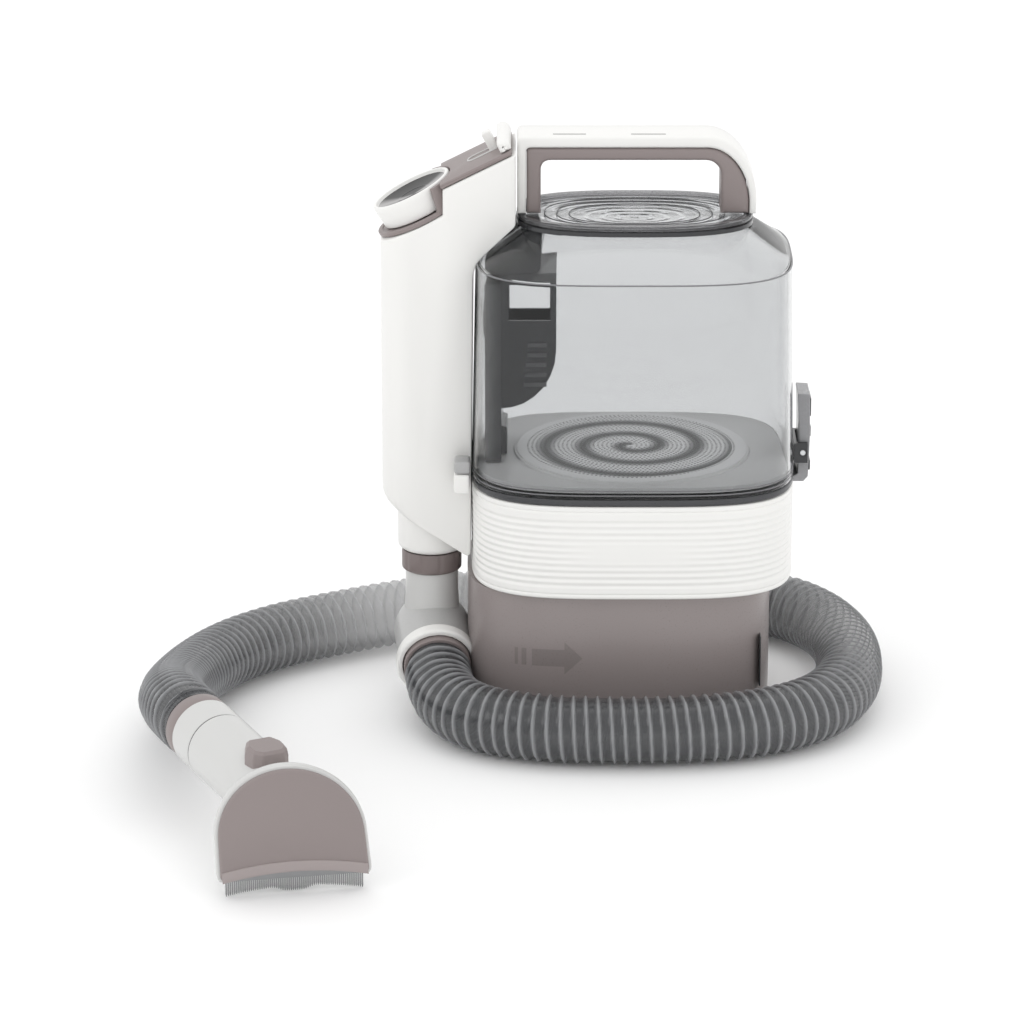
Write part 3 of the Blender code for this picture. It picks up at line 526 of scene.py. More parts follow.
def turned_metal(name, low, high, centre, direction, roughness=0.3):
    """Turned metal disc on the turned-metal group, its low colour a painted dark reflection and its high
    colour a painted highlight.
    """
    material, tree, principled = shader(name)
    rings = add(tree, "ShaderNodeGroup", node_tree=turned_metal_group())
    rings.inputs["Dark"].default_value = (*low, 1.0)
    rings.inputs["Light"].default_value = (*high, 1.0)
    spot = add(tree, "ShaderNodeTexCoord")
    local = add(tree, "ShaderNodeVectorMath", {0: spot.outputs["Object"], 1: tuple(MM * c for c in centre)},
                operation="SUBTRACT")
    for key, way in (("Along", direction), ("Across", (0.0, 1.0, 0.0))):
        reach = add(tree, "ShaderNodeVectorMath", {0: local.outputs[0], 1: way}, operation="DOT_PRODUCT")
        tree.links.new(reach.outputs["Value"], rings.inputs[key])
    relief = add(tree, "ShaderNodeBump", {"Height": rings.outputs["Height"], "Strength": 0.15,
                                          "Distance": 0.0001})
    tree.links.new(rings.outputs["Colour"], principled.inputs["Base Color"])
    tree.links.new(relief.outputs["Normal"], principled.inputs["Normal"])
    principled.inputs["Roughness"].default_value = roughness
    principled.inputs["Metallic"].default_value = 0.25
    return material


def smoke():
    """Lower housing: taupe, painted lighter towards its top as painted light, with a faint arrow on its
    front.
    """
    made = bpy.data.materials.get("smoke plastic")
    if made:
        return made
    material, tree, principled = shader("smoke plastic")
    skin = add(tree, "ShaderNodeGroup", node_tree=moulded_group())
    skin.inputs["Roughness"].default_value = 0.3
    skin.inputs["Drift"].default_value = 0.06
    spot = add(tree, "ShaderNodeTexCoord")
    parts = add(tree, "ShaderNodeSeparateXYZ", {0: spot.outputs["Object"]})
    calc = calculator(tree)

    def between(value, low, high):
        """1 where value lies between low and high."""
        return calc("MULTIPLY", calc("GREATER_THAN", value, low), calc("LESS_THAN", value, high))

    x, y, z = parts.outputs
    rise = calc("ABSOLUTE", calc("SUBTRACT", z, 0.0470))
    shaft = calc("MULTIPLY", between(x, -0.0590, -0.0400), calc("LESS_THAN", rise, 0.0052))
    tip = calc("MULTIPLY", between(x, -0.0400, -0.0290),
               calc("LESS_THAN", calc("ADD", calc("MULTIPLY", calc("ADD", x, 0.0400), 0.95), rise), 0.0100))
    bar_one = calc("MULTIPLY", between(x, -0.0690, -0.0672), calc("LESS_THAN", rise, 0.0052))
    bar_two = calc("MULTIPLY", between(x, -0.0650, -0.0622), calc("LESS_THAN", rise, 0.0052))
    arrow = calc("ADD", calc("ADD", shaft, tip), calc("ADD", bar_one, bar_two))
    front = calc("MULTIPLY", arrow, calc("LESS_THAN", y, 0.0))
    # Painted light: the taupe is painted lighter towards the housing's top, where more light falls.
    top = add(tree, "ShaderNodeMapRange", {"Value": z, "From Min": 0.0, "From Max": 0.09,
                                           "To Min": 0.92, "To Max": 1.12})
    mark = calc("SUBTRACT", top.outputs["Result"], calc("MULTIPLY", front, 0.22))
    shade = add(tree, "ShaderNodeVectorMath", {0: tuple(colours().smoke), 1: mark}, operation="MULTIPLY")
    tree.links.new(shade.outputs[0], skin.inputs["Colour"])
    tree.links.new(skin.outputs["Colour"], principled.inputs["Base Color"])
    tree.links.new(skin.outputs["Roughness"], principled.inputs["Roughness"])
    principled.inputs["Coat Weight"].default_value = 0.25
    principled.inputs["Coat Roughness"].default_value = 0.15
    return material


def perforated():
    """Bright screen: holes in rings on Object coordinates and a slow dark swirl."""
    material, tree, principled = shader("perforated steel")
    spot = add(tree, "ShaderNodeTexCoord")
    parts = add(tree, "ShaderNodeSeparateXYZ", {0: spot.outputs["Object"]})
    calc = calculator(tree)

    x, y, _ = parts.outputs
    x = calc("ADD", x, 0.0005)
    radius = calc("SQRT", calc("ADD", calc("MULTIPLY", x, x), calc("MULTIPLY", y, y)))
    turn = calc("ARCTAN2", y, x)
    ring = calc("DIVIDE", radius, 0.0026)
    number = calc("FLOOR", ring)
    across = calc("SUBTRACT", calc("FRACT", ring), 0.5)
    count = calc("ROUND", calc("MULTIPLY", number, 2.0 * math.pi))
    along = calc("SUBTRACT", calc("FRACT", calc("DIVIDE", calc("MULTIPLY", turn, count), 2.0 * math.pi)), 0.5)
    away = calc("SQRT", calc("ADD", calc("MULTIPLY", across, across), calc("MULTIPLY", along, along)))
    hole = calc("LESS_THAN", away, 0.27)
    inside = calc("MULTIPLY", hole, calc("LESS_THAN", radius, 0.0625))
    swirl = calc("SINE", calc("SUBTRACT", calc("MULTIPLY", radius, 2.0 * math.pi / 0.0225), turn))
    band = add(tree, "ShaderNodeMapRange", {"Value": swirl, "From Min": -1.0, "From Max": 0.35,
                                            "To Min": 0.06, "To Max": 1.0})
    rim = calc("GREATER_THAN", radius, 0.060)
    light = calc("MAXIMUM", band.outputs["Result"], rim)
    tone = calc("MULTIPLY", light, calc("SUBTRACT", 1.0, calc("MULTIPLY", inside, 0.85)))
    shade = add(tree, "ShaderNodeVectorMath", {0: (0.97, 0.97, 0.97), 1: tone}, operation="MULTIPLY")
    tree.links.new(shade.outputs[0], principled.inputs["Base Color"])
    relief = add(tree, "ShaderNodeBump", {"Height": calc("SUBTRACT", 1.0, inside), "Strength": 0.5,
                                          "Distance": 0.0003})
    tree.links.new(relief.outputs["Normal"], principled.inputs["Normal"])
    principled.inputs["Metallic"].default_value = 0.1
    principled.inputs["Roughness"].default_value = 0.35
    return material


def hose_wall():
    """See-through hose: pale rib over a dark thin wall, read from the mesh's rib attribute, with painted
    light: two spots made more see-through, and so paler, read from a second attribute.
    """
    material, tree, principled = shader("hose plastic")
    rib = add(tree, "ShaderNodeAttribute", attribute_name="rib")
    blend = add(tree, "ShaderNodeMix", data_type="RGBA")
    tree.links.new(rib.outputs["Fac"], blend.inputs["Factor"])
    blend.inputs[6].default_value = (*colours().hose, 1.0)
    blend.inputs[7].default_value = (0.30, 0.305, 0.315, 1.0)
    painted_light_spots = add(tree, "ShaderNodeAttribute", attribute_name="painted_light_spots")
    spot = add(tree, "ShaderNodeTexCoord")
    cloud = add(tree, "ShaderNodeTexNoise", {"Vector": spot.outputs["Object"], "Scale": 40.0, "Detail": 3.0})
    rough = add(tree, "ShaderNodeMapRange", {"Value": cloud.outputs["Fac"], "To Min": 0.12, "To Max": 0.34})
    solid = add(tree, "ShaderNodeMapRange", {"Value": rib.outputs["Fac"], "To Min": 0.80, "To Max": 0.96})
    tree.links.new(blend.outputs[2], principled.inputs["Base Color"])
    tree.links.new(rough.outputs["Result"], principled.inputs["Roughness"])
    # Painted light: where the second attribute rises the hose is made more see-through, and so paler.
    thin = add(tree, "ShaderNodeMath", {0: painted_light_spots.outputs["Fac"], 1: -0.42, 2: solid.outputs["Result"]},
               operation="MULTIPLY_ADD")
    tree.links.new(thin.outputs[0], principled.inputs["Alpha"])
    principled.inputs["Coat Weight"].default_value = 0.4
    principled.inputs["Coat Roughness"].default_value = 0.1
    return material


# ------------------------------------------------------------ operators

class PieceOperator:
    """What every piece's operator shares."""

    bl_options = {"REGISTER", "UNDO"}

    def execute(self, context):
        """Make the piece."""
        self.make()
        return {"FINISHED"}


class CLEANER_OT_base(PieceOperator, bpy.types.Operator):
    """Lower housing and the slot near its right end"""

    bl_idname = "cleaner.base"
    bl_label = "Base"

    def make(self):
        """A cup of ovals with a rolled foot and a thin wall, and one thin block for the slot."""
        outer = [(4.6, 84.0, 65.0), (5.4, 87.4, 68.2), (8.0, 89.3, 69.8), (20.0, 89.5, 70.0),
                 (85.4, 89.5, 70.0)]
        inner = [(85.4, 86.8, 67.3), (8.0, 86.6, 67.1), (7.6, 84.0, 65.0)]
        levels = [(z, a, b, 3.5, -7.5) for z, a, b in outer + inner]
        cup = surface("housing_cup", stack_levels(levels, 160), smoke())
        settle(cup, "body", "smoke_plastic", "lower_housing")
        line = soft_block("housing_slot_right", (74.5, -54.0, 24.0), (75.4, -46.0, 55.0), dark(), 0.2, 0.3)
        settle(line, "body", "dark_plastic")


class CLEANER_OT_band(PieceOperator, bpy.types.Operator):
    """White band with moulded ribs that fade out round a blank middle, and its hook"""

    bl_idname = "cleaner.band"
    bl_label = "Ribbed band"

    def make(self):
        """Oval wall whose reach dips by a cosine of height, times a mask that clears the front's middle."""
        count, rows = 300, 150
        z = np.linspace(86.2, 142.4, rows)[:, None]
        loop = oval(BAND_HALF_WIDTH, 78.0, OVAL_POWER, 0.0, count)
        x, y = loop[None, :, 0], loop[None, :, 1]
        low, high = 92.5, 134.5
        phase = (z - low) / (high - low) * sizes().rib_count
        wave = 0.5 - 0.5 * np.cos(2.0 * np.pi * phase)
        within = (z > low) & (z < high)
        blank = np.exp(-(x / 42.0) ** 4) * np.exp(-((z - 114.0) / 8.5) ** 4) * (y < 0)
        dip = sizes().rib_depth / MM * wave * within * (1.0 - blank)
        line = 0.5 * np.exp(-((z - 139.0) / 0.45) ** 2) + 0.5 * np.exp(-((z - 89.0) / 0.5) ** 2)
        ends = 0.9 * np.clip((z - 141.4) / 1.0, 0, 1) ** 2 + 0.9 * np.clip((87.2 - z) / 1.0, 0, 1) ** 2
        shrink = 1.0 - (dip + line + ends) / BAND_HALF_WIDTH
        wall = np.stack([x * shrink, y * shrink, z + 0.0 * x], axis=-1)
        inside = [(142.4, 91.6, 75.1), (89.0, 91.6, 75.1), (88.6, 60.0, 60.0), (86.2, 60.0, 60.0)]
        back = stack_levels([(h, a, b, OVAL_POWER if a > 61 else 2.0, 0.0) for h, a, b in inside], count)
        band = surface("ribbed_band", np.concatenate([wall, back]), white(), True, angle=40.0)
        settle(band, "body", "warm_white", "band_housing")
        catch = rounded([(-104.5, 140.0), (-95.2, 140.0), (-95.2, 152.0), (-104.5, 152.0)], 2.2, 4)
        hook = soft_prism("band_hook_block", catch, -47.0, -33.0, white(), 1.4)
        settle(hook, "body", "warm_white", "band_hook")


class CLEANER_OT_column(PieceOperator, bpy.types.Operator):
    """White duct column with its sloped top, scooped for the dial"""

    bl_idname = "cleaner.column"
    bl_label = "Duct column"

    def make(self):
        """Side outline swept across the depth, its left edge drawn in along a quarter circle."""
        edge, radius, half = 1.2, COLUMN_ROUND, COLUMN_HALF_DEPTH
        rows = []
        quarter = np.linspace(0.0, np.pi / 2.0, 9)
        side = half - radius * (1.0 - np.sin(quarter))
        spots = np.concatenate([-side[::-1], side])
        for y in spots:
            reach = max(abs(y) - (half - radius), 0.0)
            left = -147.0 + radius - math.sqrt(max(radius ** 2 - reach ** 2, 0.0))
            inset = edge * (1.0 - math.sqrt(max(1.0 - max((abs(y) - half + edge) / edge, 0.0) ** 2, 0.0)))
            corners = [
                (left, 94.0 + (-95.5 - left) * 34.5 / 51.5), (-95.0, 94.0), (-93.0, 272.6), (-68.5, 296.0),
                (-68.5, 338.4), (-110.5, 317.4), (-110.5, 302.3), (left, 284.0 + (left + 147.0) * 0.5)]
            loop = rounded(offset(corners, inset), [7.0, 5.0, 8.0, 2.0, 1.2, 1.2, 0.8, 1.5], 5)
            rows.append(np.column_stack([loop[:, 0], np.full(len(loop), y), loop[:, 1]]))
        column = surface("duct_column", np.stack(rows), white())
        scoop = turned("scoop", [(28.4, 0.35), (28.4, 60.0)], white(), DIAL_FOOT, DIAL_AXIS, 96, False)
        carve(column, scoop)
        settle(column, "body", "warm_white", "column_shell")


class CLEANER_OT_column_top(PieceOperator, bpy.types.Operator):
    """Taupe top panel, slider track, slider and end cap"""

    bl_idname = "cleaner.column_top"
    bl_label = "Column top"

    def make(self):
        """Rounded blocks set square to the slope."""
        place = slope_frame()
        panel = soft_block("top_panel", (-47.5, -26.4, 0.4), (-1.9, 26.4, 3.2), taupe(), 0.9, 1.0, place)
        scoop = turned("scoop", [(25.6, -10.0), (25.6, 60.0)], taupe(), DIAL_FOOT, DIAL_AXIS, 96, False)
        carve(panel, scoop)
        settle(panel, "body", "taupe", "column_top_panel")
        turn = np.linspace(0.0, 2.0 * np.pi, 49)[:-1]
        stadium = np.stack([6.2 * np.sign(np.cos(turn)) + 4.0 * np.cos(turn) - 18.6,
                            4.0 * np.sin(turn)], axis=1)
        flat = place @ Matrix.Rotation(math.radians(90.0), 4, "X")
        track = soft_prism("slider_track", stadium, -3.5, -3.0, dark(), 0.15, flat)
        settle(track, "body", "dark_plastic")
        rim = offset(stadium, -0.9)
        ring = surface("slider_track_rim", np.stack([
            np.column_stack([loop, np.full(48, height)]) for loop, height in
            ((stadium, 3.0), (stadium, 3.75), (offset(stadium, -0.45), 3.95), (rim, 3.5), (rim, 3.0))]),
            pale(), True, place)
        settle(ring, "body", "pale_grey_plastic")
        tab = soft_block("power_tab", (-15.2, -3.0, -1.0), (-9.8, 3.0, 14.6), white(), 1.0, 1.6, place)
        settle(tab, "slider", "warm_white", "power_slider")
        cap_line = rounded([(-7.8, 3.4), (-0.8, 3.4), (-0.6, 7.6), (-3.2, 10.6), (-7.8, 10.6)],
                           [0.6, 1.2, 2.0, 2.4, 2.8], 5)
        cap = soft_prism("end_cap", cap_line, -25.2, 25.2, white(), 3.4, place, 6)
        settle(cap, "body", "warm_white", "column_end_cap")


class CLEANER_OT_dial(PieceOperator, bpy.types.Operator):
    """Control dial: white rim, dark turned face and taupe seat"""

    bl_idname = "cleaner.dial"
    bl_label = "Dial"

    def make(self):
        """Profiles turned round the dial's axis."""
        rim_line = rounded([(22.2, 3.0), (23.2, 3.4), (24.5, 15.2), (24.2, 17.3), (22.4, 17.5), (21.6, 15.2),
                            (4.0, 12.2), (4.0, 3.0)], [0.4, 0.8, 1.0, 0.7, 0.6, 0.6, 0.5, 0.3], 4)
        rim = turned("dial_rim", rim_line, white(), DIAL_FOOT, DIAL_AXIS, 96)
        settle(rim, "dial", "warm_white", "dial_knob")
        radius = np.linspace(21.4, 0.3, 40)
        height = 15.6 - 2.4 * (1.0 - (radius / 21.4) ** 2) + 0.25 * np.exp(-((radius - 9.0) / 0.5) ** 2)
        line = np.column_stack([radius, height])
        line = np.concatenate([[(0.3, 12.6), (21.4, 15.0)], line])
        # Painted reflection: near black for the dark surroundings mirrored in the dial's metal, mid grey for
        # its painted highlight streak.
        metal = turned_metal("turned dial metal", (0.012, 0.012, 0.012), (0.42, 0.41, 0.41), DIAL_FOOT,
                             (math.cos(SLOPE), 0.0, math.sin(SLOPE)), 0.4)
        face = turned("dial_disc", line, metal, DIAL_FOOT, DIAL_AXIS, 96, False)
        settle(face, "dial", "steel", "dial_face")
        around = np.linspace(-np.pi, np.pi, 160, endpoint=False)
        uphill = np.clip((1.16 - np.abs(around)) / 0.10, 0.0, 1.0)
        uphill = uphill * uphill * (3.0 - 2.0 * uphill)
        rows = []
        for radius, foot, rise in ((28.1, 0.5, 0.0), (28.3, 1.0, 0.0), (28.3, 2.6, 13.4), (28.0, 2.9, 13.6),
                                   (25.7, 2.9, 13.6), (25.4, 2.6, 13.4), (25.4, 2.4, 0.0), (5.4, 2.4, 0.0),
                                   (5.4, 0.5, 0.0)):
            rows.append(np.stack(
                [radius * np.cos(around), radius * np.sin(around), foot + rise * uphill], axis=1))
        place = Matrix.Translation(Vector(DIAL_FOOT)) @ Matrix.Rotation(-SLOPE, 4, "Y")
        seat = surface("dial_seat_ring", np.stack(rows), taupe(), True, place)
        settle(seat, "body", "taupe", "dial_seat")


class CLEANER_OT_port(PieceOperator, bpy.types.Operator):
    """Collar, lock ring, elbow and its key"""

    bl_idname = "cleaner.port"
    bl_label = "Port and elbow"

    def make(self):
        """Turned collar and ring, and an elbow of a bulb, a pipe and a lip."""
        collar_line = rounded([(17.4, 93.0), (19.2, 94.2), (20.0, 96.0), (20.0, 118.0), (13.5, 118.0),
                               (13.5, 93.0)], [0.6, 1.0, 1.0, 0.3, 0.3, 0.3], 4)
        collar = turned("column_collar", collar_line, white(), (PORT_X, 0, 0))
        settle(collar, "body", "warm_white", "port_collar")
        turn = np.linspace(0.0, 2.0 * np.pi, 120, endpoint=False)
        levels = [(17.0, 80.2), (17.6, 80.9), (17.8, 82.0), (17.8, 91.2), (17.4, 92.2), (14.6, 92.4),
                  (14.6, 80.2)]
        dent = 0.5 * np.clip(np.cos(10.0 * turn), 0.0, 1.0) ** 4
        rows = [np.stack([PORT_X + (r - dent * (81 < z < 92)) * np.cos(turn),
                          (r - dent * (81 < z < 92)) * np.sin(turn), 0.0 * turn + z], axis=1)
                for r, z in levels]
        ring = surface("lock_ring_grip", np.stack(rows),
                       plastic("dark taupe plastic", (0.20, 0.165, 0.16), 0.4), True)
        settle(ring, "lock", "taupe", "lock_ring")
        arc = np.linspace(-np.pi / 2 + 0.03, 0.0, 20)
        bulb_line = np.column_stack([22.8 * np.cos(arc), 22.8 * np.sin(arc)])
        lip = rounded([(23.0, 27.4), (24.0, 29.0), (24.0, 35.0), (23.0, 36.0), (20.6, 36.0), (20.4, 33.0)],
                      0.7, 4)
        inner = [(20.4, 4.0), (12.0, -10.0), (0.7, -16.0)]
        # Painted shade: the bulb's pale grey plastic is painted a darker grey, standing in for the shade on
        # it.
        shade = plastic("elbow grey plastic, painted shade", (0.47, 0.47, 0.465), 0.3, coat=0.2)
        elbow = turned("elbow_bulb", np.concatenate([bulb_line, [(22.8, 27.0), (20.4, 27.2)], inner]), shade,
                       ELBOW_CENTRE, ELBOW_AXIS, 96, False)
        settle(elbow, "body", "pale_grey_plastic", "hose_elbow")
        mouth = turned("elbow_lip", np.concatenate([lip, [(20.4, 27.4), (22.8, 27.2)]]), white(),
                       ELBOW_CENTRE, ELBOW_AXIS, 96)
        settle(mouth, "body", "warm_white")
        pipe_line = rounded([(13.0, 44.0), (17.2, 44.0), (16.2, 58.0), (15.6, 66.0), (15.6, 79.6),
                             (13.0, 79.6)], [0.3, 0.3, 6.0, 4.0, 0.4, 0.4], 5)
        pipe = turned("elbow_neck", pipe_line, pale(), (PORT_X, 0, 0))
        settle(pipe, "body", "pale_grey_plastic")
        key_axis = Vector((0.0, -0.55, 0.835)).normalized()
        origin = Vector(ELBOW_CENTRE) + Vector((0.0, -19.0, 9.0))
        half = np.linspace(0.15, np.pi - 0.15, 15)
        moon = np.stack([7.4 * np.cos(half), 6.4 * np.sin(half) - 1.5], axis=1)
        moon = rounded(moon, 0.4, 2)
        place = Matrix.Translation(origin) @ key_axis.to_track_quat("Z", "Y").to_matrix().to_4x4()
        place = place @ Matrix.Rotation(math.radians(90.0), 4, "X")
        key_grey = plastic("key grey plastic", (0.36, 0.355, 0.35), 0.35)
        key = soft_prism("elbow_half_moon_key", moon, -5.9, 1.0, key_grey, 0.8, place)
        settle(key, "elbow_button", "grey_plastic", "elbow_key")
        cuff_line = rounded([(19.9, 24.0), (19.9, 39.4), (16.6, 39.4), (16.6, 24.0)], 0.6, 3)
        cuff = turned("elbow_cuff", cuff_line, taupe(), ELBOW_CENTRE, ELBOW_AXIS)
        settle(cuff, "body", "taupe", "hose_cuff")


class CLEANER_OT_tank(PieceOperator, bpy.types.Operator):
    """Clear tank with its seal, beads, floor, neck ring and hook"""

    bl_idname = "cleaner.tank"
    bl_label = "Tank"

    def make(self):
        """Oval levels joined through rounded shoulders, an outer wall and an inner one."""
        low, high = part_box("neck_ring")
        neck_x, neck_y = 500.0 * (high[0] - low[0]) - 0.8, 500.0 * (high[1] - low[1]) - 0.8
        neck = (293.3, neck_x, neck_y, NECK_POWER, NECK_SHIFT)
        outer = [(147.1, 94.3, 77.8, OVAL_POWER, 0.0), (152.0, 94.2, 77.7, OVAL_POWER, 0.0),
                 (274.0, 91.8, 76.0, OVAL_POWER, 0.0), neck]
        inner = [(293.3, neck_x - 2.4, neck_y - 2.4, NECK_POWER, NECK_SHIFT),
                 (273.0, 89.4, 73.6, OVAL_POWER, 0.0), (147.1, 91.9, 75.4, OVAL_POWER, 0.0)]
        levels = np.concatenate([rounded(outer, [0.5, 0.5, 1.2, 0.5], 4, False),
                                 rounded(inner, [0.5, 1.2, 0.5], 4, False)])
        tank = surface("clear_tank", stack_levels(levels, 200), clear(), True, angle=60.0)
        settle(tank, "tank", "clear_plastic", "tank_shell")
        seal_levels = [(143.1, 94.2, 77.7), (143.8, 94.6, 78.1), (146.0, 94.6, 78.1), (146.6, 94.2, 77.7),
                       (146.6, 90.0, 73.5), (143.1, 90.0, 73.5)]
        seal = surface("tank_base_seal", stack_levels(
            [(z, a, b, OVAL_POWER, 0.0) for z, a, b in seal_levels], 200),
            plastic("seal grey plastic", (0.055, 0.056, 0.06), 0.3), True)
        settle(seal, "tank", "dark_plastic", "tank_seal")
        beads = ((149.2, 94.3, 77.8), (152.0, 94.3, 77.8), (273.9, 91.9, 76.1))
        for number, (height, a, b) in enumerate(beads):
            bead = [(height - 0.35, a, b), (height, a + 0.25, b + 0.25), (height + 0.35, a, b),
                    (height + 0.35, a - 0.7, b - 0.7), (height - 0.35, a - 0.7, b - 0.7)]
            ring = surface("tank_bead_%d" % number, stack_levels(
                [(z, a, b, OVAL_POWER, 0.0) for z, a, b in bead], 200),
                plastic("bead grey plastic", (0.20, 0.20, 0.21), 0.3), True)
            settle(ring, "tank", "dark_plastic")
        floor_levels = [(150.0, 91.0, 74.5, OVAL_POWER), (153.4, 91.0, 74.5, OVAL_POWER),
                        (153.4, 70.2, 70.2, 2.0), (154.6, 69.6, 69.6, 2.0), (154.6, 66.6, 66.6, 2.0),
                        (153.6, 63.2, 63.2, 2.0),
                        (150.0, 63.2, 63.2, 2.0)]
        floor = surface("tank_floor_plate", stack_levels(
            [(z, a, b, p, 0.0) for z, a, b, p in floor_levels], 200),
            plastic("floor grey plastic", (0.88, 0.88, 0.875), 0.35), True)
        settle(floor, "tank", "warm_white", "tank_floor")
        neck_levels = [(293.8, 0.8), (296.0, 0.8), (296.4, 0.2), (296.4, -3.2), (293.8, -3.2)]
        ring = surface("tank_neck_ring", stack_levels(
            [(z, neck_x + w, neck_y + w, NECK_POWER, NECK_SHIFT) for z, w in neck_levels], 200), dark(), True)
        settle(ring, "tank", "dark_plastic", "neck_ring")
        catch = rounded([(-104.3, 152.5), (-94.9, 152.5), (-94.9, 160.0), (-104.3, 160.0)], 1.8, 4)
        hook_grey = plastic("hook grey plastic", (0.42, 0.42, 0.42), 0.3)
        hook = soft_prism("tank_hook_block", catch, -47.0, -33.0, hook_grey, 1.4)
        settle(hook, "tank", "smoke_plastic", "tank_hook")


class CLEANER_OT_screen(PieceOperator, bpy.types.Operator):
    """Perforated filter screen over its pad"""

    bl_idname = "cleaner.screen"
    bl_label = "Filter screen"

    def make(self):
        """A shallow dome turned from a smooth profile."""
        radius = np.linspace(68.2, 0.4, 60)
        height = 155.0 + 0.9 * (1.0 - (radius / 68.2) ** 2) ** 0.5
        line = np.concatenate([[(0.4, 154.1), (68.2, 154.1)], np.column_stack([radius, height])])
        disc = turned("perforated_screen", line, perforated(), steps=128, closed=False)
        settle(disc, "tank", "steel", "filter_screen")


class CLEANER_OT_inlet(PieceOperator, bpy.types.Operator):
    """Dark inlet duct and hood inside the tank"""

    bl_idname = "cleaner.inlet"
    bl_label = "Inlet duct"

    def make(self):
        """The CAD duct with its edges rounded, and rows of moulded slots."""
        duct = refined("inlet_duct_shell", "inlet_duct", dark(), 0.8, 3)
        settle(duct, "tank", "dark_plastic")
        hood = refined("inlet_hood_shell", "inlet_hood", dark(), 0.8, 3)
        settle(hood, "tank", "dark_plastic")
        for row in range(5):
            z = 196.0 + 6.0 * row
            slot = soft_block("duct_slot_%d" % row, (-64.0 + 0.6 * row, -14.6, z), (-50.5, -14.1, z + 2.6),
                              plastic("slot grey plastic", (0.13, 0.13, 0.135), 0.4), 0.2, 0.5)
            settle(slot, "tank", "dark_plastic")


class CLEANER_OT_latch(PieceOperator, bpy.types.Operator):
    """Latch lever with its pads, and its bracket"""

    bl_idname = "cleaner.latch"
    bl_label = "Latch"

    def make(self):
        """The CAD lever and bracket with their edges rounded, and three pads on the lever."""
        glassy = plastic("latch smoke plastic", (0.30, 0.30, 0.31), 0.25, coat=0.3)
        lever = refined("latch_lever_body", "latch_lever", glassy, 0.7, 3)
        settle(lever, "latch", "smoke_plastic")
        bracket = refined("latch_bracket_body", "latch_bracket", dark(), 0.5, 2)
        settle(bracket, "tank", "smoke_plastic")
        for number, (low, high) in enumerate(((143.0, 149.0), (163.5, 170.0), (176.0, 187.0))):
            pad = soft_block("latch_pad_%d" % number, (103.2, -8.5, low), (105.0, 8.5, high), dark(),
                             0.5, 0.6)
            settle(pad, "latch", "dark_plastic")


class CLEANER_OT_lid(PieceOperator, bpy.types.Operator):
    """Clear dished lid with stepped oval rings in a dark rim"""

    bl_idname = "cleaner.lid"
    bl_label = "Lid"

    def make(self):
        """Ovals shrinking to the middle, their heights stepping down like stairs."""
        low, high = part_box("lid_rim")
        half_x, half_y = 500.0 * (high[0] - low[0]), 500.0 * (high[1] - low[1])
        bottom, top = 1000.0 * low[2], 1000.0 * high[2]
        rim_levels = [(bottom, -0.8), (bottom + 0.4, -0.1), (top - 0.8, 0.0), (top, -0.6), (top, -4.2),
                      (top - 1.0, -5.0), (bottom, -5.0)]
        rim = surface("lid_rim_band", stack_levels(
            [(z, half_x + w, half_y + w, NECK_POWER, NECK_SHIFT) for z, w in rim_levels], 200),
            clear_dark(), True)
        settle(rim, "lid", "dark_plastic", "lid_rim")
        share = np.linspace(0.995, 0.02, 90)
        steps = 7.0
        stair = np.floor(share * steps) + np.clip((share * steps % 1.0) / 0.3, 0.0, 1.0)
        height = top - 6.2 + 3.6 * stair / steps
        upper = [(z, (half_x - 5.4) * s, (half_y - 5.4) * s, 2.5, NECK_SHIFT) for s, z in zip(share, height)]
        lower = [(z - 1.7, a, b, p, c) for z, a, b, p, c in upper[::-1]]
        dish = surface("lid_dish", stack_levels(lower + upper, 160), clear(), False, angle=50.0)
        settle(dish, "lid", "clear_plastic", "lid_cover")
        for number, part in enumerate((0.86, 0.74, 0.62)):
            z = top - 6.2 + 3.6 * part + 0.55
            line = [(z, 0.0), (z + 0.5, 0.4), (z, 0.8)]
            ring = surface("lid_ring_%d" % number, stack_levels(
                [(h, (half_x - 8.0) * part + w, (half_y - 8.0) * part + w, 2.5, NECK_SHIFT)
                 for h, w in line], 160),
                plastic("ring grey plastic", (0.12, 0.12, 0.125), 0.25), True)
            settle(ring, "lid", "dark_plastic")


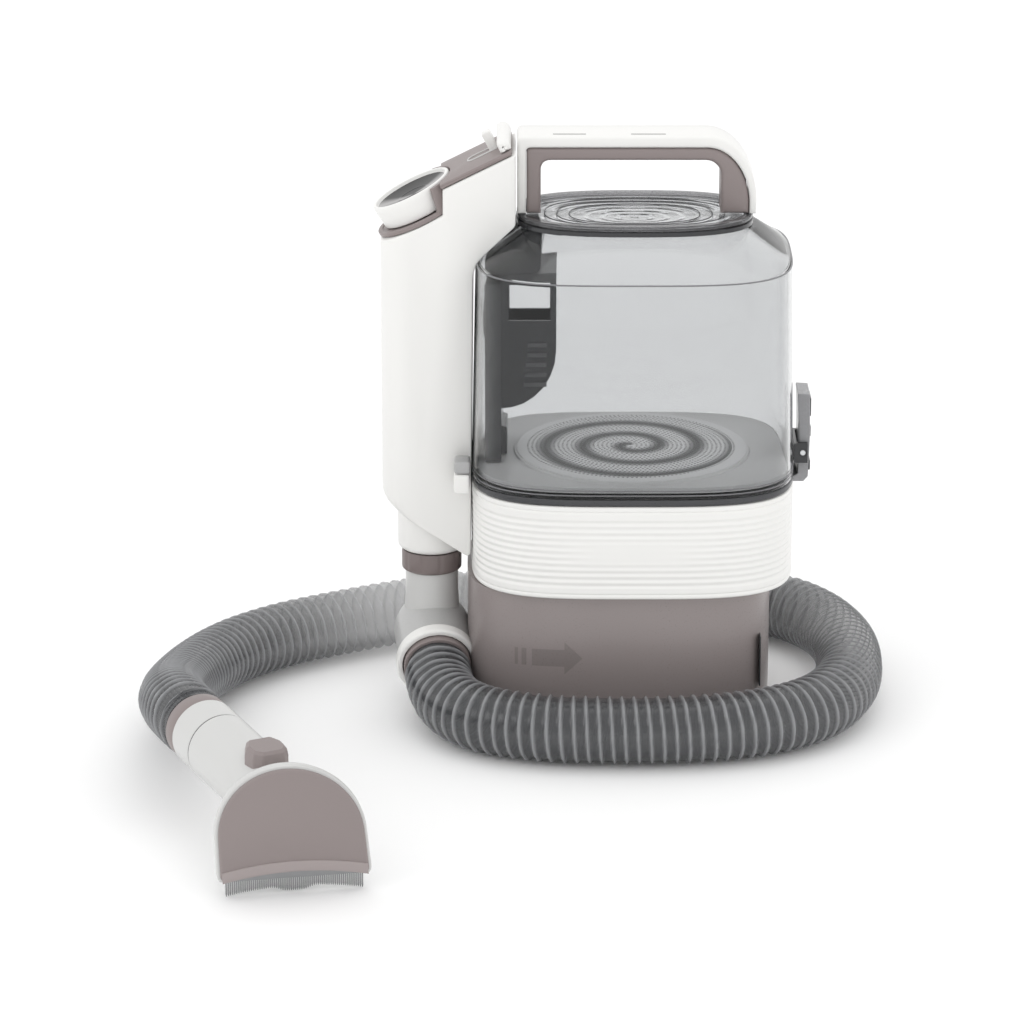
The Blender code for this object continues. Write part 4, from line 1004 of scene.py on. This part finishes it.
class CLEANER_OT_handle(PieceOperator, bpy.types.Operator):
    """Carrying handle: white cover over a taupe grip"""

    bl_idname = "cleaner.handle"
    bl_label = "Handle"

    def make(self):
        """Two arches swept across the handle's depth, with thin inlays along the top."""
        foot = 1000.0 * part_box("handle_grip")[0][2]

        def arch(left, right, top, left_cut, reach_x, reach_z):
            """Left foot up, a rounded left corner, and a quarter ellipse down to the right foot."""
            t = np.linspace(0.0, 1.0, 9)[:, None]
            corner = np.array([(left, top)])
            start, end = np.array([(left, top - left_cut)]), np.array([(left + left_cut, top)])
            first = (1 - t) ** 2 * start + 2 * t * (1 - t) * corner + t ** 2 * end
            turn = np.linspace(np.pi / 2, 0.0, 33)
            last = np.column_stack([right - reach_x + reach_x * np.cos(turn),
                                    top - reach_z + reach_z * np.sin(turn)])
            return np.concatenate([[(left, foot)], first, last, [(right, foot)]])

        outside = arch(-67.6, 70.6, 346.0, 3.5, 29.0, 38.0)
        joint = arch(-62.5, 66.6, 339.3, 3.0, 25.0, 33.0)
        seam = arch(-62.2, 66.2, 339.0, 3.0, 24.8, 32.8)
        inside = arch(-54.0, 50.0, 331.6, 6.0, 9.0, 9.0)
        cover = soft_prism("handle_cover_shell", np.concatenate([outside, joint[::-1]]), -15.0, 15.0,
                           white(), 1.6)
        settle(cover, "lid", "warm_white", "handle_cover")
        grip = soft_prism("handle_grip_pad", np.concatenate([seam, inside[::-1]]), -14.2, 14.2,
                          taupe(), 2.2, None, 4)
        settle(grip, "lid", "taupe", "handle_grip")
        for number, (left, right) in enumerate(((-47.0, -28.0), (-2.0, 18.0))):
            inlay = soft_block("handle_inlay_%d" % number, (left, -9.0, 345.8), (right, -8.2, 346.2),
                               plastic("inlay grey plastic", (0.10, 0.10, 0.10), 0.4), 0.1, 0.1)
            settle(inlay, "lid", "dark_plastic")


class CLEANER_OT_hose(PieceOperator, bpy.types.Operator):
    """Ribbed see-through hose"""

    bl_idname = "cleaner.hose"
    bl_label = "Hose"

    def make(self):
        """Tube round the smooth route, its radius rising along a helix, plain inside the tool's cuff."""
        last = HOSE_ROUTE[-1] - HOSE_ROUTE[-2]
        guide = np.concatenate([HOSE_ROUTE, [HOSE_ROUTE[-1] + HOSE_PLUG * last / np.linalg.norm(last)]])
        ends = np.concatenate([[2 * guide[0] - guide[1]], guide, [2 * guide[-1] - guide[-2]]])
        a, b, c, d = ends[:-3, None], ends[1:-2, None], ends[2:-1, None], ends[3:, None]
        t = np.linspace(0.0, 1.0, 24, endpoint=False)[None, :, None]
        line = 0.5 * (2 * b + (c - a) * t + (2 * a - 5 * b + 4 * c - d) * t ** 2
                      + (3 * b - a - 3 * c + d) * t ** 3)
        line = np.concatenate([line.reshape(-1, 3), guide[-1:]])
        run = np.concatenate([[0.0], np.cumsum(np.linalg.norm(np.diff(line, axis=0), axis=1))])
        pitch = sizes().hose_pitch
        rows = int(run[-1] / pitch * 8)
        even = np.linspace(0.0, run[-1], rows)
        path = np.stack([np.interp(even, run, line[:, k]) for k in range(3)], axis=1)
        ahead = np.gradient(path, axis=0)
        ahead /= np.linalg.norm(ahead, axis=1, keepdims=True)
        side = np.cross(ahead, (0.0, 0.0, 1.0))
        side /= np.linalg.norm(side, axis=1, keepdims=True)
        up = np.cross(side, ahead)
        columns = 40
        turn = np.linspace(0.0, 2.0 * np.pi, columns, endpoint=False)
        phase = even[:, None] / pitch + turn[None, :] / (2.0 * np.pi)
        crest = np.clip(np.cos(2.0 * np.pi * phase), 0.0, 1.0) ** 2.6
        left = run[-1] - HOSE_PLUG - even
        fade = np.clip(np.minimum(even, left) / 0.004, 0.0, 1.0)[:, None]
        rib = sizes().hose_rib
        radius = np.where(left[:, None] < 0.2 * MM, 15.6 * MM, HOSE_DIAMETER / 2 - rib * (1.0 - crest * fade))
        grid = (path[:, None] + radius[..., None] * (np.cos(turn)[None, :, None] * side[:, None]
                                                     + np.sin(turn)[None, :, None] * up[:, None]))
        hose = surface("ribbed_hose", grid / MM, hose_wall(), False, angle=70.0)
        # Painted light: two spots along the hose, about a third and two thirds of its length, that the
        # material makes paler.
        share = even[:, None] / run[-1] + 0.0 * turn[None, :]
        painted_light_spots = np.exp(-((share - 0.66) / 0.075) ** 2) + np.exp(-((share - 0.36) / 0.06) ** 2)
        for mark, values in (("rib", crest * fade), ("painted_light_spots", painted_light_spots)):
            hose.data.attributes.new(mark, "FLOAT", "POINT").data.foreach_set("value", values.reshape(-1))
        settle(hose, "body", "hose_wall", "hose")


def head_line(inset):
    """Half-ellipse crown on steep sides, closed by a hollow lower edge and leaning to the left."""
    turn = np.linspace(0.06, np.pi - 0.06, 49)
    crown = np.column_stack([(41.2 - inset) * np.cos(turn), 34.0 + (40.6 - inset) * np.sin(turn)])
    bottom_x = np.linspace(inset - 40.8, 40.8 - inset, 33)
    bottom = np.column_stack([bottom_x, 14.0 + inset - 5.0 * (bottom_x / HEAD_HALF_WIDTH) ** 2])
    left, right = np.array([(inset - HEAD_HALF_WIDTH, 12.4)]), np.array([(HEAD_HALF_WIDTH - inset, 12.4)])
    line = rounded(np.concatenate([crown, left, bottom, right]), 1.6, 3)
    return line - np.column_stack([HEAD_LEAN * (line[:, 1] - 10.0), 0.0 * line[:, 1]])


def plate(name, levels, material, place):
    """Closed slab across Y from (y, inset) levels of the head's outline."""
    rows = []
    for y, inset in levels:
        line = head_line(inset)
        rows.append(np.column_stack([line[:, 0], np.full(len(line), y), line[:, 1]]))
    return surface(name, np.stack(rows), material, False, place)


class CLEANER_OT_tool_head(PieceOperator, bpy.types.Operator):
    """Comb tool's head: pale shell, taupe face with a lip, and the fine comb"""

    bl_idname = "cleaner.tool_head"
    bl_label = "Tool head"

    def make(self):
        """Head outline swept through its thickness, and rows of tapered teeth."""
        place = head_frame()
        shell = plate("head_shell", [(1.6, 1.0), (1.9, 0.4), (2.6, 0.0), (6.0, 0.0), (8.6, 0.7), (10.2, 2.2),
                                     (11.0, 4.4)], pale(), place)
        settle(shell, "body", "pale_grey_plastic", "tool_head")
        face = plate("head_face", [(-1.4, 2.9), (-1.1, 2.2), (-0.4, 1.7), (1.2, 1.6)], taupe(), place)
        x = np.linspace(-39.6, 39.6, 41)
        low = 14.6 - 5.0 * (x / HEAD_HALF_WIDTH) ** 2
        line = np.concatenate([np.column_stack([x, low]), np.column_stack([x, low + 6.2])[::-1]])
        line[:, 0] -= HEAD_LEAN * (line[:, 1] - 10.0)
        # Painted light: the lip is the face's own taupe painted lighter, standing in for the light on its
        # ledge.
        painted_lit_taupe = plastic("lip taupe plastic, painted light", (0.34, 0.295, 0.29), 0.4)
        lip = soft_prism("face_lip", line, -2.1, -0.6, painted_lit_taupe, 0.8, place)
        with bpy.context.temp_override(active_object=face, selected_editable_objects=[face, lip]):
            bpy.ops.object.join()
        settle(face, "body", "taupe", "tool_face")
        count = sizes().tooth_count
        middle = np.linspace(-COMB_HALF_WIDTH, COMB_HALF_WIDTH, count)[:, None]
        wide = np.array([-0.43, 0.43, 0.43, -0.43])
        deep = np.array([4.7, 4.7, 5.7, 5.7])
        dome = 1.0 - (middle / COMB_HALF_WIDTH) ** 2
        tip = 0.2 + 3.6 * dome - 2.6 * np.exp(-(middle / 9.0) ** 4)
        teeth = []
        for height, narrow in ((16.0 + 0.0 * tip, 1.0), (tip + 1.2, 1.0), (tip, 0.4)):
            teeth.append(np.stack([middle + narrow * wide, 5.2 + narrow * (deep - 5.2) + 0.0 * middle,
                                   height + 0.0 * wide], axis=-1))
        grid = np.stack(teeth, axis=1)
        comb = comb_mesh("fine_comb", grid, place)
        settle(comb, "body", "steel", "comb_blade")


def comb_mesh(name, teeth, place):
    """All the teeth in one mesh with the plate that they stand in: boxes of stacked four-point loops."""
    x = np.array([-37.4, 37.4, 37.4, -37.4])
    deep = np.array([4.4, 4.4, 6.0, 6.0])
    spine = np.stack([np.column_stack([x, deep, np.full(4, z)]) for z in (20.0, 12.0, 8.8)])
    boxes = np.concatenate([teeth, spine[None]])
    number = len(boxes)
    points = boxes.reshape(-1, 3)
    turn = np.array(place)
    points = (points @ turn[:3, :3].T + turn[:3, 3]) * MM
    base = (np.arange(number) * 12)[:, None]
    faces = []
    for level in (0, 4):
        for k in range(4):
            n = (k + 1) % 4
            faces.append(base + np.array([[level + k, level + 4 + k, level + 4 + n, level + n]]))
    faces += [base + np.array([[0, 1, 2, 3]]), base + np.array([[11, 10, 9, 8]])]
    mesh = bpy.data.meshes.new(name)
    mesh.from_pydata(points.tolist(), [], np.concatenate(faces).tolist())
    bm = bmesh.new()
    bm.from_mesh(mesh)
    bmesh.ops.recalc_face_normals(bm, faces=bm.faces)
    bm.to_mesh(mesh)
    bm.free()
    mesh.materials.append(plastic("comb steel", (0.30, 0.305, 0.31), 0.35, metallic=0.8))
    comb = bpy.data.objects.new(name, mesh)
    bpy.context.collection.objects.link(comb)
    return comb


class CLEANER_OT_tool_handle(PieceOperator, bpy.types.Operator):
    """Comb tool's handle, collar, hose cuff and push button"""

    bl_idname = "cleaner.tool_handle"
    bl_label = "Tool handle"

    def make(self):
        """Hoops along the axis, the first ones turned to lie against the head's back."""
        place = handle_frame()
        turn = np.linspace(0.0, 2.0 * np.pi, 72, endpoint=False)

        def hoop(distance, radius, lean=0.0):
            """Circle round the axis; lean 1 lays it on the head's back plane."""
            x, z = radius * np.cos(turn), radius * np.sin(turn)
            back = x * math.tan(TOOL_YAW - HEAD_YAW) + z * math.tan(TOOL_RISE)
            return np.stack([x, distance - lean * back, z], axis=1)

        body = [hoop(-1.6, 23.4, 1), hoop(0.2, 22.2, 1), hoop(4.0, 21.0, 0.9), hoop(11.0, 20.2, 0.5),
                hoop(22, 19.7), hoop(83.3, 19.7), hoop(83.9, 19.2), hoop(83.9, 16.5), hoop(-1.6, 16.5, 1)]
        handle = surface("tool_body", np.stack(body), pale(), True, place)
        settle(handle, "body", "pale_grey_plastic", "tool_handle")
        collar = [hoop(84.2, 19.2), hoop(84.8, 19.7), hoop(105.6, 19.7), hoop(106.4, 19.1), hoop(106.4, 16.5),
                  hoop(84.2, 16.5)]
        ring = surface("tool_body_collar", np.stack(collar), pale(), True, place)
        settle(ring, "body", "pale_grey_plastic", "tool_collar")
        gap = surface("tool_seam", np.stack([hoop(83.7, 19.45), hoop(84.4, 19.45), hoop(84.4, 17.0),
                                             hoop(83.7, 17.0)]), dark(), True, place)
        settle(gap, "body", "dark_plastic")
        cuff = [hoop(106.8, 18.8), hoop(107.6, 19.2), hoop(115.6, 19.4), hoop(116.4, 19.0), hoop(116.4, 16.0),
                hoop(106.8, 16.0)]
        end = surface("tool_end_cuff", np.stack(cuff), taupe(), True, place)
        settle(end, "body", "taupe", "tool_cuff")
        crown = np.array([(-10.6, 17.0), (-6.4, 12.6), (6.4, 12.6), (10.6, 17.0), (11.4, 26.0), (7.6, 34.4),
                          (-7.6, 34.4), (-11.4, 26.0)])
        rows = []
        for height, share in ((11.0, 1.0), (21.6, 1.0), (25.2, 0.93), (26.8, 0.80)):
            loop = rounded((crown - (0.0, 24.0)) * share + (0.0, 24.0), 0.9, 3)
            rows.append(np.column_stack([loop, np.full(len(loop), height)]))
        button = surface("tool_push_button", np.stack(rows), taupe(), False, place, 25.0)
        settle(button, "trigger", "taupe", "tool_button")


class CLEANER_OT_inside(PieceOperator, bpy.types.Operator):
    """Finishes of the CAD pieces that stay as they are"""

    bl_idname = "cleaner.inside"
    bl_label = "Inner parts"

    def make(self):
        """Each remaining CAD node takes the finish of its slot."""
        rubber = plastic("black rubber", (0.03, 0.03, 0.03), 0.75, 900.0, 0.1, 0.2)
        grey = plastic("mid grey plastic", (0.38, 0.38, 0.385), 0.45)
        felt = plastic("filter felt", (0.10, 0.10, 0.10), 0.95, 2600.0, 0.2, 0.6)
        copper = plastic("copper winding", (0.55, 0.27, 0.13), 0.35, 2000.0, 0.15, 0.4, metallic=0.9)
        board = plastic("circuit board", (0.02, 0.14, 0.06), 0.4)
        finishes = {
            "rubber": rubber, "grey_plastic": grey, "filter_felt": felt, "copper_winding": copper,
            "circuit_board": board, "steel": steel(), "taupe": taupe(), "dark_plastic": dark(),
            "warm_white": white(), "pale_grey_plastic": pale(), "smoke_plastic": smoke(),
            "clear_plastic": clear(), "hose_wall": grey}
        slots = {part["node"]: part["material_slot"] for part in frame["record"]["subparts"]}
        for name, node in frame["nodes"].items():
            if not node.material_slots:
                node.data.materials.append(finishes[slots[name]])
            for holder in node.material_slots:
                holder.material = finishes[slots[name]]


class CLEANER_OT_stage(PieceOperator, bpy.types.Operator):
    """Floor, soft light and camera"""

    bl_idname = "cleaner.stage"
    bl_label = "Stage"

    def make(self):
        """A pale floor, a bright even sky, two broad lights and a long lens."""
        scene = bpy.context.scene
        mesh = bpy.data.meshes.new("floor")
        reach = FLOOR_REACH
        mesh.from_pydata([(-reach, -reach, 0), (reach, -reach, 0), (reach, reach, 0), (-reach, reach, 0)],
                         [], [(0, 1, 2, 3)])
        mesh.materials.append(plastic("studio floor", (1.0, 1.0, 1.0), 0.9, 300.0, 0.0, 0.0))
        floor = bpy.data.objects.new("floor", mesh)
        bpy.context.collection.objects.link(floor)
        world = bpy.data.worlds.new("studio")
        world.use_nodes = True
        world.node_tree.nodes["Background"].inputs["Color"].default_value = (1.0, 1.0, 1.0, 1.0)
        world.node_tree.nodes["Background"].inputs["Strength"].default_value = 1.04
        scene.world = world
        scene.view_settings.view_transform = "Standard"
        for name, place, size, power in (
                ("key", (-2.2, -1.6, 1.9), 1.3, 7.0), ("fill", (2.0, -1.6, 1.4), 1.4, 1.0),
                ("top", (0.2, 0.6, 2.6), 1.6, 5.0)):
            light = bpy.data.lights.new(name, "AREA")
            light.size = size
            light.energy = power
            lamp = bpy.data.objects.new(name, light)
            lamp.location = place
            aim = Vector((-0.03, 0.0, 0.15)) - Vector(place)
            lamp.rotation_euler = aim.to_track_quat("-Z", "Y").to_euler()
            bpy.context.collection.objects.link(lamp)
        view = bpy.data.cameras.new("camera")
        view.lens = CAMERA_LENS
        view.sensor_width = 36.0
        view.clip_end = 100.0
        camera = bpy.data.objects.new("camera", view)
        away = Vector((0.0, -math.cos(CAMERA_RISE), math.sin(CAMERA_RISE)))
        camera.location = Vector(CAMERA_AIM) + CAMERA_REACH * away
        camera.rotation_euler = (math.pi / 2 - CAMERA_RISE, 0.0, 0.0)
        bpy.context.collection.objects.link(camera)
        scene.camera = camera


PIECES = (
    CLEANER_OT_stage, CLEANER_OT_inside, CLEANER_OT_base, CLEANER_OT_band, CLEANER_OT_column,
    CLEANER_OT_column_top, CLEANER_OT_dial, CLEANER_OT_port, CLEANER_OT_tank, CLEANER_OT_screen,
    CLEANER_OT_inlet, CLEANER_OT_latch, CLEANER_OT_lid, CLEANER_OT_handle, CLEANER_OT_tool_head,
    CLEANER_OT_tool_handle, CLEANER_OT_hose,
)


class CLEANER_PT_panel(bpy.types.Panel):
    """Sidebar panel with the settings and the pieces"""

    bl_idname = "CLEANER_PT_panel"
    bl_label = "Spot extractor"
    bl_space_type = "VIEW_3D"
    bl_region_type = "UI"
    bl_category = "Cleaner"

    def draw(self, context):
        """List the settings, then one button for each piece."""
        for group in (context.scene.cleaner_sizes, context.scene.cleaner_colours):
            for key in group.__annotations__:
                self.layout.prop(group, key)
        for piece in PIECES:
            self.layout.operator(piece.bl_idname)


CLASSES = (CleanerSizes, CleanerColours, *PIECES, CLEANER_PT_panel)


def register():
    """Add the classes and the scene's settings."""
    for item in CLASSES:
        bpy.utils.register_class(item)
    bpy.types.Scene.cleaner_sizes = bpy.props.PointerProperty(type=CleanerSizes)
    bpy.types.Scene.cleaner_colours = bpy.props.PointerProperty(type=CleanerColours)


def unregister():
    """Take the settings and the classes away."""
    del bpy.types.Scene.cleaner_sizes
    del bpy.types.Scene.cleaner_colours
    for item in reversed(CLASSES):
        bpy.utils.unregister_class(item)


def main():
    """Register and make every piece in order."""
    register()
    for piece in PIECES:
        group, name = piece.bl_idname.split(".")
        getattr(getattr(bpy.ops, group), name)()


if __name__ == "__main__":
    main()
